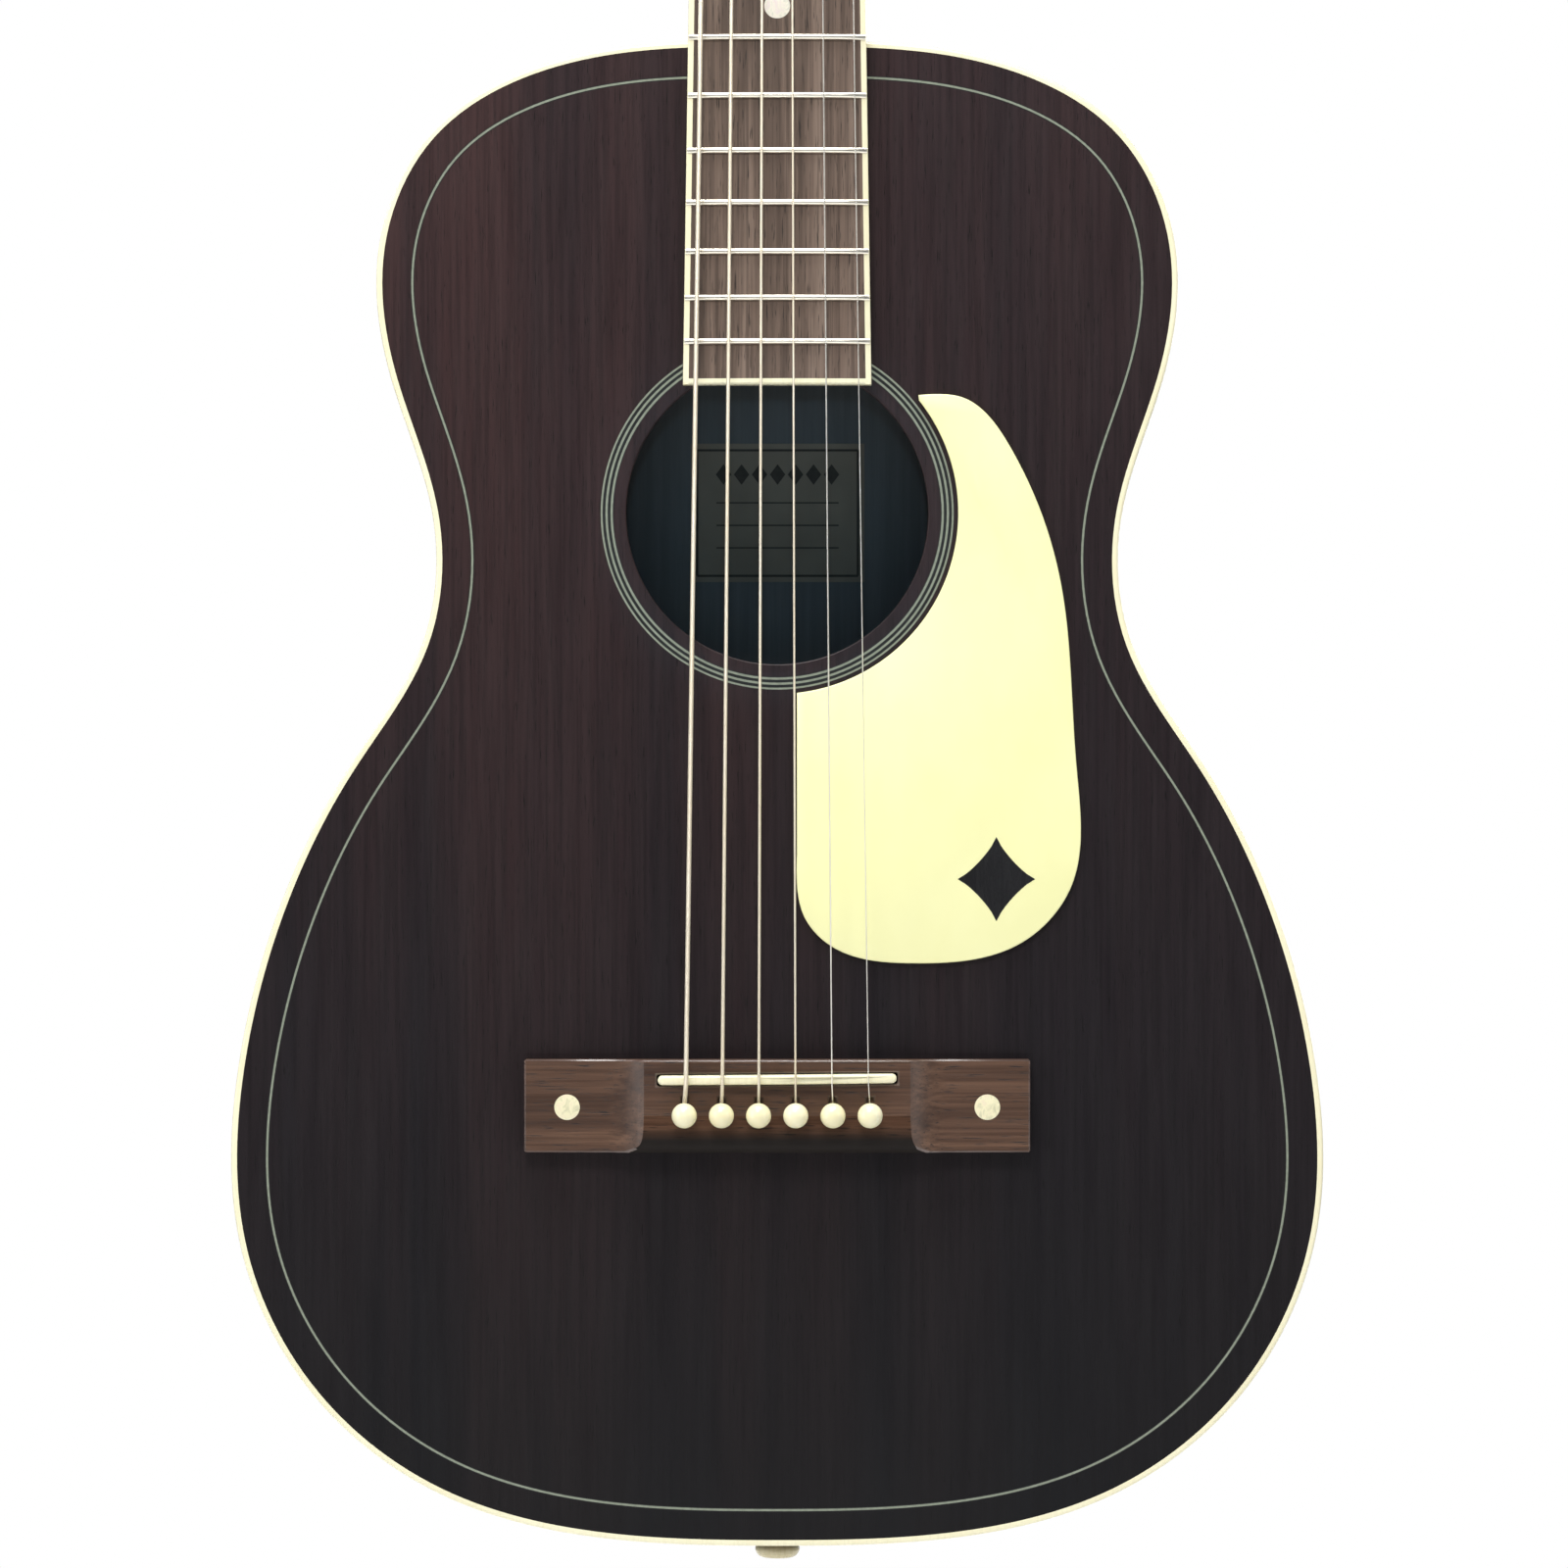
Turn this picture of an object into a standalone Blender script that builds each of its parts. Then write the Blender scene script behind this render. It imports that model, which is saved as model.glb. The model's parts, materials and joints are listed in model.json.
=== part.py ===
"""A small-bodied (parlour) steel-string acoustic guitar, with every sub-part as its own solid.

Each part is modelled in "bench" coordinates, with the guitar lying on its back: x to the treble side,
y from the tail up the neck, z out of the soundboard. Parent empties turn it upright, so that in the
world the neck points to +Z and the soundboard faces -Y. The origin is the centre of the flat end of
the strap button, the lowest point of the guitar.
"""

import math

import bmesh
import bpy
import numpy as np
from mathutils import Matrix, Vector

MM = 0.001
GAP = 0.3 * MM  # what glued or touching pieces keep between them
SEAM = 0.1 * MM  # the same for an inlay in its channel
BIG = 400 * MM  # half the size of a cutter that only has to be larger than the part

# Strings
SCALE_LENGTH = 609.6 * MM
COMPENSATION = 0.9 * MM
# From string 1, the treble, to string 6.
STRING_DIAMETERS = [0.32 * MM, 0.42 * MM, 0.62 * MM, 0.82 * MM, 1.08 * MM, 1.35 * MM]
STRING_SPREAD_AT_NUT = 36.5 * MM
STRING_SPREAD_AT_SADDLE = 53.4 * MM
PIN_SPREAD = 54.3 * MM
STRINGS = range(1, 7)

# Body
BUTTON_STANDS_OUT = 10 * MM
BODY_LENGTH = 443.5 * MM
TAIL_Y = BUTTON_STANDS_OUT
JOINT_Y = TAIL_Y + BODY_LENGTH
TOP_Z = 47 * MM
TAIL_BACK_Z = -48 * MM
JOINT_BACK_Z = -37 * MM
BACK_SLOPE = math.asin((JOINT_BACK_Z - TAIL_BACK_Z) / BODY_LENGTH)
TOP_THICKNESS = 2.8 * MM
BACK_THICKNESS = 2.6 * MM
SIDE_THICKNESS = 2.2 * MM
BINDING_WIDTH = 1.7 * MM
BINDING_DEPTH = 5.5 * MM
LINING_WIDTH = 6 * MM
LINING_DEPTH = 13 * MM
PURFLING_INSET = 10.1 * MM
PURFLING_WIDTH = 1.1 * MM
INLAY_DEPTH = 0.9 * MM
BLOCK_HALF_WIDTH = 30 * MM
NECK_BLOCK_LENGTH = 28 * MM
TAIL_BLOCK_LENGTH = 18 * MM
OUTLINE_POINTS = 76

HOLE_Y = 314.3 * MM
HOLE_RADIUS = 44.5 * MM
ROSETTE_INNER = 48.2 * MM
ROSETTE_OUTER = 52.0 * MM
PICKGUARD_ARC = 53.3 * MM
PICKGUARD_THICKNESS = 1.2 * MM

# Neck and fingerboard
FRET_12_Y = JOINT_Y + 0.2 * MM
NUT_Y = FRET_12_Y + SCALE_LENGTH / 2
SADDLE_Y = NUT_Y - SCALE_LENGTH - COMPENSATION
BOARD_END_Y = NUT_Y - SCALE_LENGTH * (1 - 2 ** (-18 / 12)) - 12.6 * MM
BOARD_WIDTH_AT_NUT = 43.2 * MM
BOARD_WIDTH_AT_END = 55.4 * MM
BOARD_THICKNESS = 6 * MM
BOARD_RADIUS = 305 * MM
BOARD_BINDING = 1.7 * MM
FRET_COUNT = 18
FRET_WIDTH = 2.0 * MM
FRET_HEIGHT = 1.0 * MM
NUT_LENGTH = 4.2 * MM
NUT_ACTION = 0.2 * MM  # the string's clearance over the frets' plane at the nut
SADDLE_STRING_Z = TOP_Z + 11.5 * MM
SHAFT_DEPTH_AT_NUT = 15 * MM
SHAFT_DEPTH_AT_HEEL = 16.5 * MM
HEEL_CAP_THICKNESS = 2 * MM
TENON_HALF_WIDTH = 10 * MM
TENON_LENGTH = 14 * MM

# Headstock and tuners
HEAD_Y = NUT_Y + GAP + NUT_LENGTH
HEAD_TILT = math.radians(14)
HEAD_THICKNESS = 15 * MM
POST_X = 21 * MM
POST_PITCH = 39 * MM
FIRST_POST_U = 44 * MM
POST_RADIUS = 3 * MM
POST_WAIST_RADIUS = 2.5 * MM
POST_HOLE_N = 12 * MM
GEAR_TEETH = 14
GEAR_MODULE = 0.9 * MM
GEAR_THICKNESS = 2.4 * MM
WORM_PITCH = math.pi * GEAR_MODULE
WORM_PITCH_RADIUS = 2.6 * MM
WORM_N = -HEAD_THICKNESS - 5.4 * MM
WORM_DISTANCE = GEAR_TEETH * GEAR_MODULE / 2 + WORM_PITCH_RADIUS
PLATE_THICKNESS = 1.2 * MM

# Bridge
BRIDGE_HALF_WIDTH = 74.3 * MM
BRIDGE_LOW_Y = 126.3 * MM
BRIDGE_HIGH_Y = 153.6 * MM
BRIDGE_HEIGHT = 8.5 * MM
WING_HEIGHT = 4.6 * MM
WING_START_X = 39 * MM
WING_SCOOP_RADIUS = 21 * MM
ROLL_DROP = 2.9 * MM
SADDLE_HALF_LENGTH = 35 * MM
SADDLE_THICKNESS = 2.8 * MM
SADDLE_SLANT = math.radians(0.5)
PIN_Y = 137.6 * MM
PIN_HEAD_RADIUS = 3.7 * MM
PIN_SHAFT_RADIUS = 2.5 * MM
PIN_LENGTH = 24 * MM
PIN_HOLE_RADIUS = 2.85 * MM
STRING_IN_HOLE_Y = PIN_Y + 1.9 * MM

COLOURS = {  # base colour, roughness, metallic
    "stained_mahogany": ((0.030, 0.020, 0.020, 1), 0.45, 0),
    "bare_wood": ((0.42, 0.26, 0.15, 1), 0.8, 0),
    "cream_plastic": ((0.86, 0.82, 0.55, 1), 0.3, 0),
    "ivory_plastic": ((0.88, 0.85, 0.70, 1), 0.3, 0),
    "line_inlay": ((0.35, 0.36, 0.30, 1), 0.4, 0),
    "pickguard_plastic": ((0.93, 0.92, 0.55, 1), 0.25, 0),
    "rosewood": ((0.09, 0.055, 0.045, 1), 0.5, 0),
    "paper": ((0.55, 0.50, 0.36, 1), 0.9, 0),
    "nickel": ((0.66, 0.64, 0.60, 1), 0.25, 1),
    "steel": ((0.45, 0.45, 0.46, 1), 0.35, 1),
    "plain_wire": ((0.75, 0.75, 0.74, 1), 0.25, 1),
    "bronze_wire": ((0.72, 0.58, 0.40, 1), 0.35, 1),
    "black_plastic": ((0.015, 0.015, 0.016, 1), 0.3, 0),
}


# ---------------------------------------------------------------- scene, frames and materials


def clear_scene():
    for obj in list(bpy.data.objects):
        bpy.data.objects.remove(obj, do_unlink=True)


def new_collection(name):
    collection = bpy.data.collections.new(name)
    bpy.context.scene.collection.children.link(collection)
    return collection


def new_frame(name, matrix, parent=None):
    """An empty that carries parts modelled in its own coordinates."""
    empty = bpy.data.objects.new(name, None)
    PARTS.objects.link(empty)
    empty.parent = parent
    empty.matrix_local = matrix
    return empty


def new_material(name):
    colour, roughness, metallic = COLOURS[name]
    material = bpy.data.materials.new(name)
    material.use_nodes = True
    shader = material.node_tree.nodes["Principled BSDF"]
    shader.inputs["Base Color"].default_value = colour
    shader.inputs["Roughness"].default_value = roughness
    shader.inputs["Metallic"].default_value = metallic
    material.diffuse_color = colour
    return material


clear_scene()
PARTS = new_collection("acoustic_guitar")
CUTTERS = new_collection("cutters")
MATERIALS = {name: new_material(name) for name in COLOURS}
BENCH = new_frame("bench_frame", Matrix.Rotation(math.pi / 2, 4, "X"))
BACK = new_frame(
    "back_frame",
    Matrix.Translation((0, TAIL_Y, TAIL_BACK_Z)) @ Matrix.Rotation(BACK_SLOPE, 4, "X"),
    BENCH,
)
HEAD = new_frame(
    "head_frame",
    Matrix.Translation((0, HEAD_Y, TOP_Z)) @ Matrix.Rotation(-HEAD_TILT, 4, "X"),
    BENCH,
)


# ---------------------------------------------------------------- modelling helpers


def place(name, data, material, frame, matrix=None):
    """Links an object into the guitar, modelled in the frame's coordinates."""
    obj = bpy.data.objects.new(name, data)
    PARTS.objects.link(obj)
    obj.parent = frame
    if matrix is not None:
        obj.matrix_local = matrix
    if material and not data.materials:
        data.materials.append(MATERIALS[material])
    return obj


def as_cutter(obj):
    """Turns a part into a Boolean operand that isn't a part itself."""
    PARTS.objects.unlink(obj)
    CUTTERS.objects.link(obj)
    obj.hide_render = True
    obj.display_type = "WIRE"
    return obj


def combine(obj, operand, operation="DIFFERENCE"):
    modifier = obj.modifiers.new(f"{operation.lower()}_{operand.name}", "BOOLEAN")
    modifier.operation = operation
    modifier.object = operand
    return obj


def evaluated_mesh(obj):
    bpy.context.view_layer.update()
    graph = bpy.context.evaluated_depsgraph_get()
    return bpy.data.meshes.new_from_object(obj.evaluated_get(graph))


def welded(mesh):
    bm = bmesh.new()
    bm.from_mesh(mesh)
    bmesh.ops.remove_doubles(bm, verts=bm.verts, dist=1e-6)
    bmesh.ops.recalc_face_normals(bm, faces=bm.faces)
    bm.to_mesh(mesh)
    bm.free()
    return mesh


def prism_mesh(name, loops, low, high):
    """A flat outline, with any holes, as a closed mesh between two heights."""
    curve = bpy.data.curves.new(name, "CURVE")
    curve.dimensions = "2D"
    curve.fill_mode = "BOTH"
    curve.extrude = (high - low) / 2
    for loop in loops:
        spline = curve.splines.new("POLY")
        spline.points.add(len(loop) - 1)
        for point, (x, y) in zip(spline.points, loop):
            point.co = (x, y, 0, 1)
        spline.use_cyclic_u = True
    outline = bpy.data.objects.new(name + "_outline", curve)
    PARTS.objects.link(outline)
    mesh = welded(evaluated_mesh(outline))
    bpy.data.objects.remove(outline)
    bpy.data.curves.remove(curve)
    mesh.transform(Matrix.Translation((0, 0, (low + high) / 2)))
    mesh.name = name
    return mesh


def prism(name, loops, low, high, material, frame=BENCH):
    return place(name, prism_mesh(name, loops, low, high), material, frame)


def block_mesh(name, low, high):
    bm = bmesh.new()
    bmesh.ops.create_cube(bm, size=1)
    size = Vector(high) - Vector(low)
    middle = (Vector(high) + Vector(low)) / 2
    bm.transform(Matrix.Translation(middle) @ Matrix.Diagonal((*size, 1)))
    mesh = bpy.data.meshes.new(name)
    bm.to_mesh(mesh)
    bm.free()
    return mesh


def block(name, low, high, material=None, frame=BENCH):
    return place(name, block_mesh(name, low, high), material, frame)


def rod_mesh(name, radius, low, high, sides=12, axis="Z", centre=(0, 0), top_radius=None):
    """A round bar between two places along an axis. centre holds the other two coordinates, in order."""
    bm = bmesh.new()
    bmesh.ops.create_cone(
        bm,
        cap_ends=True,
        segments=sides,
        radius1=radius,
        radius2=radius if top_radius is None else top_radius,
        depth=high - low,
    )
    bm.transform(Matrix.Translation((0, 0, (low + high) / 2)))
    turn = {
        "X": Matrix(((0, 0, 1, 0), (1, 0, 0, centre[0]), (0, 1, 0, centre[1]), (0, 0, 0, 1))),
        "Y": Matrix(((0, 1, 0, centre[0]), (0, 0, 1, 0), (1, 0, 0, centre[1]), (0, 0, 0, 1))),
        "Z": Matrix.Translation((*centre, 0)),
    }[axis]
    bm.transform(turn)
    mesh = bpy.data.meshes.new(name)
    bm.to_mesh(mesh)
    bm.free()
    return mesh


def joined_mesh(name, meshes):
    """Several meshes in one, for a cutter made of repeated bodies."""
    bm = bmesh.new()
    for mesh in meshes:
        bm.from_mesh(mesh)
        bpy.data.meshes.remove(mesh)
    mesh = bpy.data.meshes.new(name)
    bm.to_mesh(mesh)
    bm.free()
    return mesh


def turned_mesh(name, profile, sides=12):
    """A profile of (radius, height) points from top to bottom, turned about the local Z axis."""
    bm = bmesh.new()
    points = [bm.verts.new((radius, 0, height)) for radius, height in profile]
    for first, second in zip(points, points[1:]):
        bm.edges.new((first, second))
    mesh = bpy.data.meshes.new(name)
    bm.to_mesh(mesh)
    bm.free()
    turned = bpy.data.objects.new(name, mesh)
    PARTS.objects.link(turned)
    screw = turned.modifiers.new("turn", "SCREW")
    screw.steps = screw.render_steps = sides
    screw.use_merge_vertices = True
    screw.merge_threshold = 1e-6
    result = welded(evaluated_mesh(turned))
    bpy.data.objects.remove(turned)
    return result


def loft_mesh(name, sections):
    """A closed skin through rings that have the same number of points, with flat ends."""
    bm = bmesh.new()
    rings = [[bm.verts.new(point) for point in section] for section in sections]
    count = len(rings[0])
    for lower, upper in zip(rings, rings[1:]):
        for i in range(count):
            j = (i + 1) % count
            bm.faces.new((lower[i], lower[j], upper[j], upper[i]))
    bm.faces.new(list(reversed(rings[0])))
    bm.faces.new(rings[-1])
    bmesh.ops.recalc_face_normals(bm, faces=bm.faces)
    mesh = bpy.data.meshes.new(name)
    bm.to_mesh(mesh)
    bm.free()
    return mesh


def box_beyond_back(name, clearance):
    """A cutter that removes whatever lies behind a plane this far inside the back's outer face."""
    return as_cutter(block(name, (-BIG, -BIG, -BIG), (BIG, 2 * BIG, clearance), frame=BACK))


# ---------------------------------------------------------------- outlines


def spline_through(anchors, count, closed):
    """Points along a cubic spline through the anchors, even in chord length, C2 smooth.
    A closed spline returns to its first anchor; an open one has free ends."""
    points = np.array(anchors, float)
    if closed:
        points = np.vstack([points, points[:1]])
    chords = np.hypot(*np.diff(points, axis=0).T)
    knots = np.concatenate([[0], np.cumsum(chords)])
    last = len(points) - 1
    system = np.zeros((last + 1, last + 1))
    right = np.zeros((last + 1, 2))
    slopes = np.diff(points, axis=0) / chords[:, None]
    for i in range(1, last):
        system[i, i - 1 : i + 2] = chords[i - 1], 2 * (chords[i - 1] + chords[i]), chords[i]
        right[i] = 6 * (slopes[i] - slopes[i - 1])
    if closed:
        system[0, [0, 1, last - 1]] = 2 * (chords[-1] + chords[0]), chords[0], chords[-1]
        right[0] = 6 * (slopes[0] - slopes[-1])
        system[last, [0, last]] = 1, -1
    else:
        system[0, 0] = system[last, last] = 1
    bends = np.linalg.solve(system, right)
    where = np.linspace(0, knots[-1], count, endpoint=not closed)
    span = np.clip(np.searchsorted(knots, where, side="right") - 1, 0, last - 1)
    width = chords[span][:, None]
    before = (knots[span + 1] - where)[:, None]
    after = (where - knots[span])[:, None]
    start, end = points[span], points[span + 1]
    bend_start, bend_end = bends[span], bends[span + 1]
    result = (
        (bend_start * before**3 + bend_end * after**3) / (6 * width)
        + (start / width - bend_start * width / 6) * before
        + (end / width - bend_end * width / 6) * after
    )
    return [tuple(point) for point in result]


# One half of the body's outline, from the tail to the neck joint: (half width, distance from the tail).
HALF_BODY = [
    (0, 0),
    (54 * MM, 2.6 * MM),
    (98 * MM, 14.6 * MM),
    (136 * MM, 43.6 * MM),
    (158 * MM, 87.5 * MM),
    (159 * MM, 139.5 * MM),
    (146.5 * MM, 188.5 * MM),
    (126 * MM, 229.8 * MM),
    (104.5 * MM, 266 * MM),
    (101.6 * MM, 304 * MM),
    (113.8 * MM, 344 * MM),
    (117.2 * MM, 384 * MM),
    (102.5 * MM, 416 * MM),
    (66 * MM, 437.4 * MM),
    (0, 443.5 * MM),
]


def body_outline(inset=0.0, tail_y=TAIL_Y, count=OUTLINE_POINTS):
    """The body's outline, moved in by inset. It starts at the tail and goes round by the treble side."""
    mirrored = [(-x, y) for x, y in reversed(HALF_BODY[1:-1])]
    points = np.array(spline_through(HALF_BODY + mirrored, count, closed=True))
    along = np.roll(points, -1, axis=0) - np.roll(points, 1, axis=0)
    normals = np.stack([along[:, 1], -along[:, 0]], axis=1)
    normals /= np.linalg.norm(normals, axis=1)[:, None]
    moved = points - inset * normals + (0, tail_y)
    return [tuple(point) for point in moved]


def treble_half(inset, tail_x, joint_x, tail_y=TAIL_Y):
    """The treble half of the inset outline, from tail_x beside the tail to joint_x beside the neck."""
    outline = body_outline(inset, tail_y)
    half = outline[: len(outline) // 2 + 2]

    def crossing(a, b, x):
        share = (x - a[0]) / (b[0] - a[0])
        return (x, a[1] + share * (b[1] - a[1]))

    first = next(i for i, point in enumerate(half) if point[0] > tail_x)
    last = max(i for i, point in enumerate(half) if point[0] > joint_x)
    start = crossing(half[first - 1], half[first], tail_x)
    end = crossing(half[last], half[last + 1], joint_x)
    return [start, *half[first : last + 1], end]


def rib_loop(side, outer_inset, thickness, tail_x, joint_x, tail_y=TAIL_Y):
    """The plan of a bent strip along one side of the body: side is 1 for treble, -1 for bass."""
    outer = treble_half(outer_inset, tail_x, joint_x, tail_y)
    inner = treble_half(outer_inset + thickness, tail_x, joint_x, tail_y)
    return [(side * x, y) for x, y in outer + inner[::-1]]


def circle(radius, centre=(0, 0), count=48):
    turns = (2 * math.pi * i / count for i in range(count))
    return [(centre[0] + radius * math.cos(a), centre[1] + radius * math.sin(a)) for a in turns]


def board_half_width(y):
    share = (NUT_Y - y) / (NUT_Y - BOARD_END_Y)
    return (BOARD_WIDTH_AT_NUT + share * (BOARD_WIDTH_AT_END - BOARD_WIDTH_AT_NUT)) / 2


def crown(x):
    """How far the fingerboard's round top has dropped at x."""
    return x * x / (2 * BOARD_RADIUS)


def fret_y(number):
    return NUT_Y - SCALE_LENGTH * (1 - 2 ** (-number / 12))


def string_x(string, spread):
    """Strings are numbered from the treble side, so string 1 has the largest x."""
    return spread * (0.5 - (string - 1) / 5)


# ---------------------------------------------------------------- the sound box


def soundboard():
    top = prism(
        "soundboard",
        [body_outline(BINDING_WIDTH + GAP), circle(HOLE_RADIUS, (0, HOLE_Y))],
        TOP_Z - TOP_THICKNESS,
        TOP_Z,
        "stained_mahogany",
    )
    floor = TOP_Z - INLAY_DEPTH - SEAM
    above = TOP_Z + 1 * MM
    channels = [
        [body_outline(PURFLING_INSET - SEAM), body_outline(PURFLING_INSET + PURFLING_WIDTH + SEAM)],
        [circle(ROSETTE_OUTER + SEAM, (0, HOLE_Y)), circle(ROSETTE_INNER - SEAM, (0, HOLE_Y))],
    ]
    for name, loops in zip(("purfling_channel", "rosette_channel"), channels):
        combine(top, as_cutter(prism(name, loops, floor, above, None)))
    combine(top, PIN_DRILL)


def top_inlays():
    low = TOP_Z - INLAY_DEPTH
    purfling = [body_outline(PURFLING_INSET), body_outline(PURFLING_INSET + PURFLING_WIDTH)]
    prism("top_purfling", purfling, low, TOP_Z, "line_inlay")
    rings = [circle(ROSETTE_OUTER, (0, HOLE_Y)), circle(ROSETTE_INNER, (0, HOLE_Y))]
    prism("rosette", rings, low, TOP_Z, "line_inlay")


def bindings():
    strip = [body_outline(0), body_outline(BINDING_WIDTH)]
    prism("top_binding", strip, TOP_Z - BINDING_DEPTH, TOP_Z, "cream_plastic")
    back_strip = [body_outline(0, 0), body_outline(BINDING_WIDTH, 0)]
    prism("back_binding", back_strip, 0, BINDING_DEPTH, "cream_plastic", BACK)


def back_plate():
    outline = body_outline(BINDING_WIDTH + GAP, 0)
    prism("back_plate", [outline], 0, BACK_THICKNESS, "stained_mahogany", BACK)


def ribs():
    """The two bent sides. They meet at the tail, and stop either side of the neck's tenon."""
    behind = box_beyond_back("behind_ribs", BINDING_DEPTH + GAP)
    top = TOP_Z - BINDING_DEPTH - GAP
    for name, side in (("side_bass", -1), ("side_treble", 1)):
        loop = rib_loop(side, 0, SIDE_THICKNESS, GAP / 2, TENON_HALF_WIDTH + GAP)
        rib = prism(name, [loop], TAIL_BACK_Z - 10 * MM, top, "stained_mahogany")
        combine(rib, behind)
        combine(rib, BUTTON_DRILL)


def linings():
    """Strips that widen the gluing edge between the ribs and each plate, from block to block."""
    inset = SIDE_THICKNESS + GAP
    end_x = BLOCK_HALF_WIDTH + GAP
    top = TOP_Z - TOP_THICKNESS - GAP
    floor = BACK_THICKNESS + GAP
    slab = as_cutter(
        block("back_lining_slab", (-BIG, -BIG, floor), (BIG, 2 * BIG, floor + LINING_DEPTH), frame=BACK)
    )
    for word, side in (("bass", -1), ("treble", 1)):
        loop = rib_loop(side, inset, LINING_WIDTH, end_x, end_x)
        prism(f"top_lining_{word}", [loop], top - LINING_DEPTH, top, "bare_wood")
        lining = prism(f"back_lining_{word}", [loop], TAIL_BACK_Z, JOINT_BACK_Z + 20 * MM, "bare_wood")
        combine(lining, slab, "INTERSECT")


def end_blocks():
    """The blocks that the ribs' ends are glued to, shaped to the inside of the ribs."""
    inside = body_outline(SIDE_THICKNESS + GAP)
    half = len(inside) // 2
    near_joint = [p for p in inside[half // 2 : half + half // 2] if abs(p[0]) < BLOCK_HALF_WIDTH - MM]
    near_tail = [p for p in inside[-half // 2 :] + inside[: half // 2] if abs(p[0]) < BLOCK_HALF_WIDTH - MM]
    top = TOP_Z - TOP_THICKNESS - GAP
    behind = box_beyond_back("behind_blocks", BACK_THICKNESS + GAP)

    joint_edge = treble_half(SIDE_THICKNESS + GAP, 0, BLOCK_HALF_WIDTH)[-1][1]
    low_y = JOINT_Y - SIDE_THICKNESS - NECK_BLOCK_LENGTH
    right, left = BLOCK_HALF_WIDTH, -BLOCK_HALF_WIDTH
    loop = [(left, low_y), (right, low_y), (right, joint_edge), *near_joint, (left, joint_edge)]
    neck_block = prism("neck_block", [loop], TAIL_BACK_Z, top, "bare_wood")
    combine(neck_block, behind)
    mortise = block(
        "mortise",
        (-TENON_HALF_WIDTH - GAP, JOINT_Y - TENON_LENGTH - GAP, TENON_LOW_Z - GAP),
        (TENON_HALF_WIDTH + GAP, JOINT_Y + MM, TENON_HIGH_Z + GAP),
    )
    combine(neck_block, as_cutter(mortise))

    tail_edge = treble_half(SIDE_THICKNESS + GAP, BLOCK_HALF_WIDTH, 0)[0][1]
    high_y = TAIL_Y + SIDE_THICKNESS + TAIL_BLOCK_LENGTH
    loop = [(right, high_y), (left, high_y), (left, tail_edge), *near_tail, (right, tail_edge)]
    tail_block = prism("tail_block", [loop], TAIL_BACK_Z, top, "bare_wood")
    combine(tail_block, behind)
    combine(tail_block, BUTTON_DRILL)


TENON_LOW_Z = -22 * MM
TENON_HIGH_Z = TOP_Z - BINDING_DEPTH - GAP


def brace(name, start, end, height, low, frame=BENCH, width=8 * MM):
    """A bar glued to a plate between two plan points, its free edge scalloped to thin ends.
    A negative height hangs it below low, for the soundboard; a positive one stands it on the back."""
    start, end = Vector((*start, 0)), Vector((*end, 0))
    length = (end - start).length
    tip = 4 * MM
    side_view = [(0, 0), (length, 0), (length, tip), (length * 0.82, abs(height))]
    side_view += [(length * 0.18, abs(height)), (0, tip)]
    mesh = prism_mesh(name, [side_view], -width / 2, width / 2)
    along = (end - start).normalized()
    rise = Vector((0, 0, math.copysign(1, height)))
    across = along.cross(rise)
    matrix = Matrix((along, rise, across)).transposed().to_4x4()
    matrix.translation = start + Vector((0, 0, low))
    return place(name, mesh, "bare_wood", frame, matrix)


def soundboard_bracing():
    low = TOP_Z - TOP_THICKNESS - GAP
    crossing_y = 240 * MM
    reach = 96 * MM
    high = crossing_y + reach * 1.05
    bottom = crossing_y - reach * 1.35
    x_brace = brace("x_brace", (-reach, high), (reach * 1.35, bottom), -13 * MM, low)
    other = brace("x_brace_other_leg", (reach, high), (-reach * 1.35, bottom), -12.6 * MM, low)
    combine(x_brace, as_cutter(other), "UNION")
    brace("transverse_brace", (-92 * MM, 378 * MM), (92 * MM, 378 * MM), -16 * MM, low, width=12 * MM)
    brace("tone_bar", (-52 * MM, 88 * MM), (46 * MM, 52 * MM), -10 * MM, low)
    plate = block(
        "bridge_plate",
        (-46 * MM, PIN_Y - 12 * MM, low - 2.4 * MM),
        (46 * MM, PIN_Y + 16 * MM, low),
        "bare_wood",
    )
    combine(plate, PIN_DRILL)
    room = brace("room_for_x_brace", (-reach, high), (reach * 1.35, bottom), -14 * MM, low, width=9 * MM)
    room_other = brace("room_for_x_leg", (reach, high), (-reach * 1.35, bottom), -14 * MM, low, width=9 * MM)
    for cutter in (room, room_other):
        combine(plate, as_cutter(cutter))


def back_bracing():
    floor = BACK_THICKNESS + GAP
    for word, y, reach in (("lower", 80, 128), ("middle", 195, 124), ("upper", 385, 92)):
        ends = (-reach * MM, y * MM), (reach * MM, y * MM)
        brace(f"back_brace_{word}", *ends, 12 * MM, floor, BACK, width=10 * MM)


def label():
    low = BACK_THICKNESS + SEAM
    middle_y = 309 * MM
    block(
        "label",
        (-27 * MM, middle_y - 21.5 * MM, low),
        (27 * MM, middle_y + 21.5 * MM, low + 0.2 * MM),
        "paper",
        BACK,
    )


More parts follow.
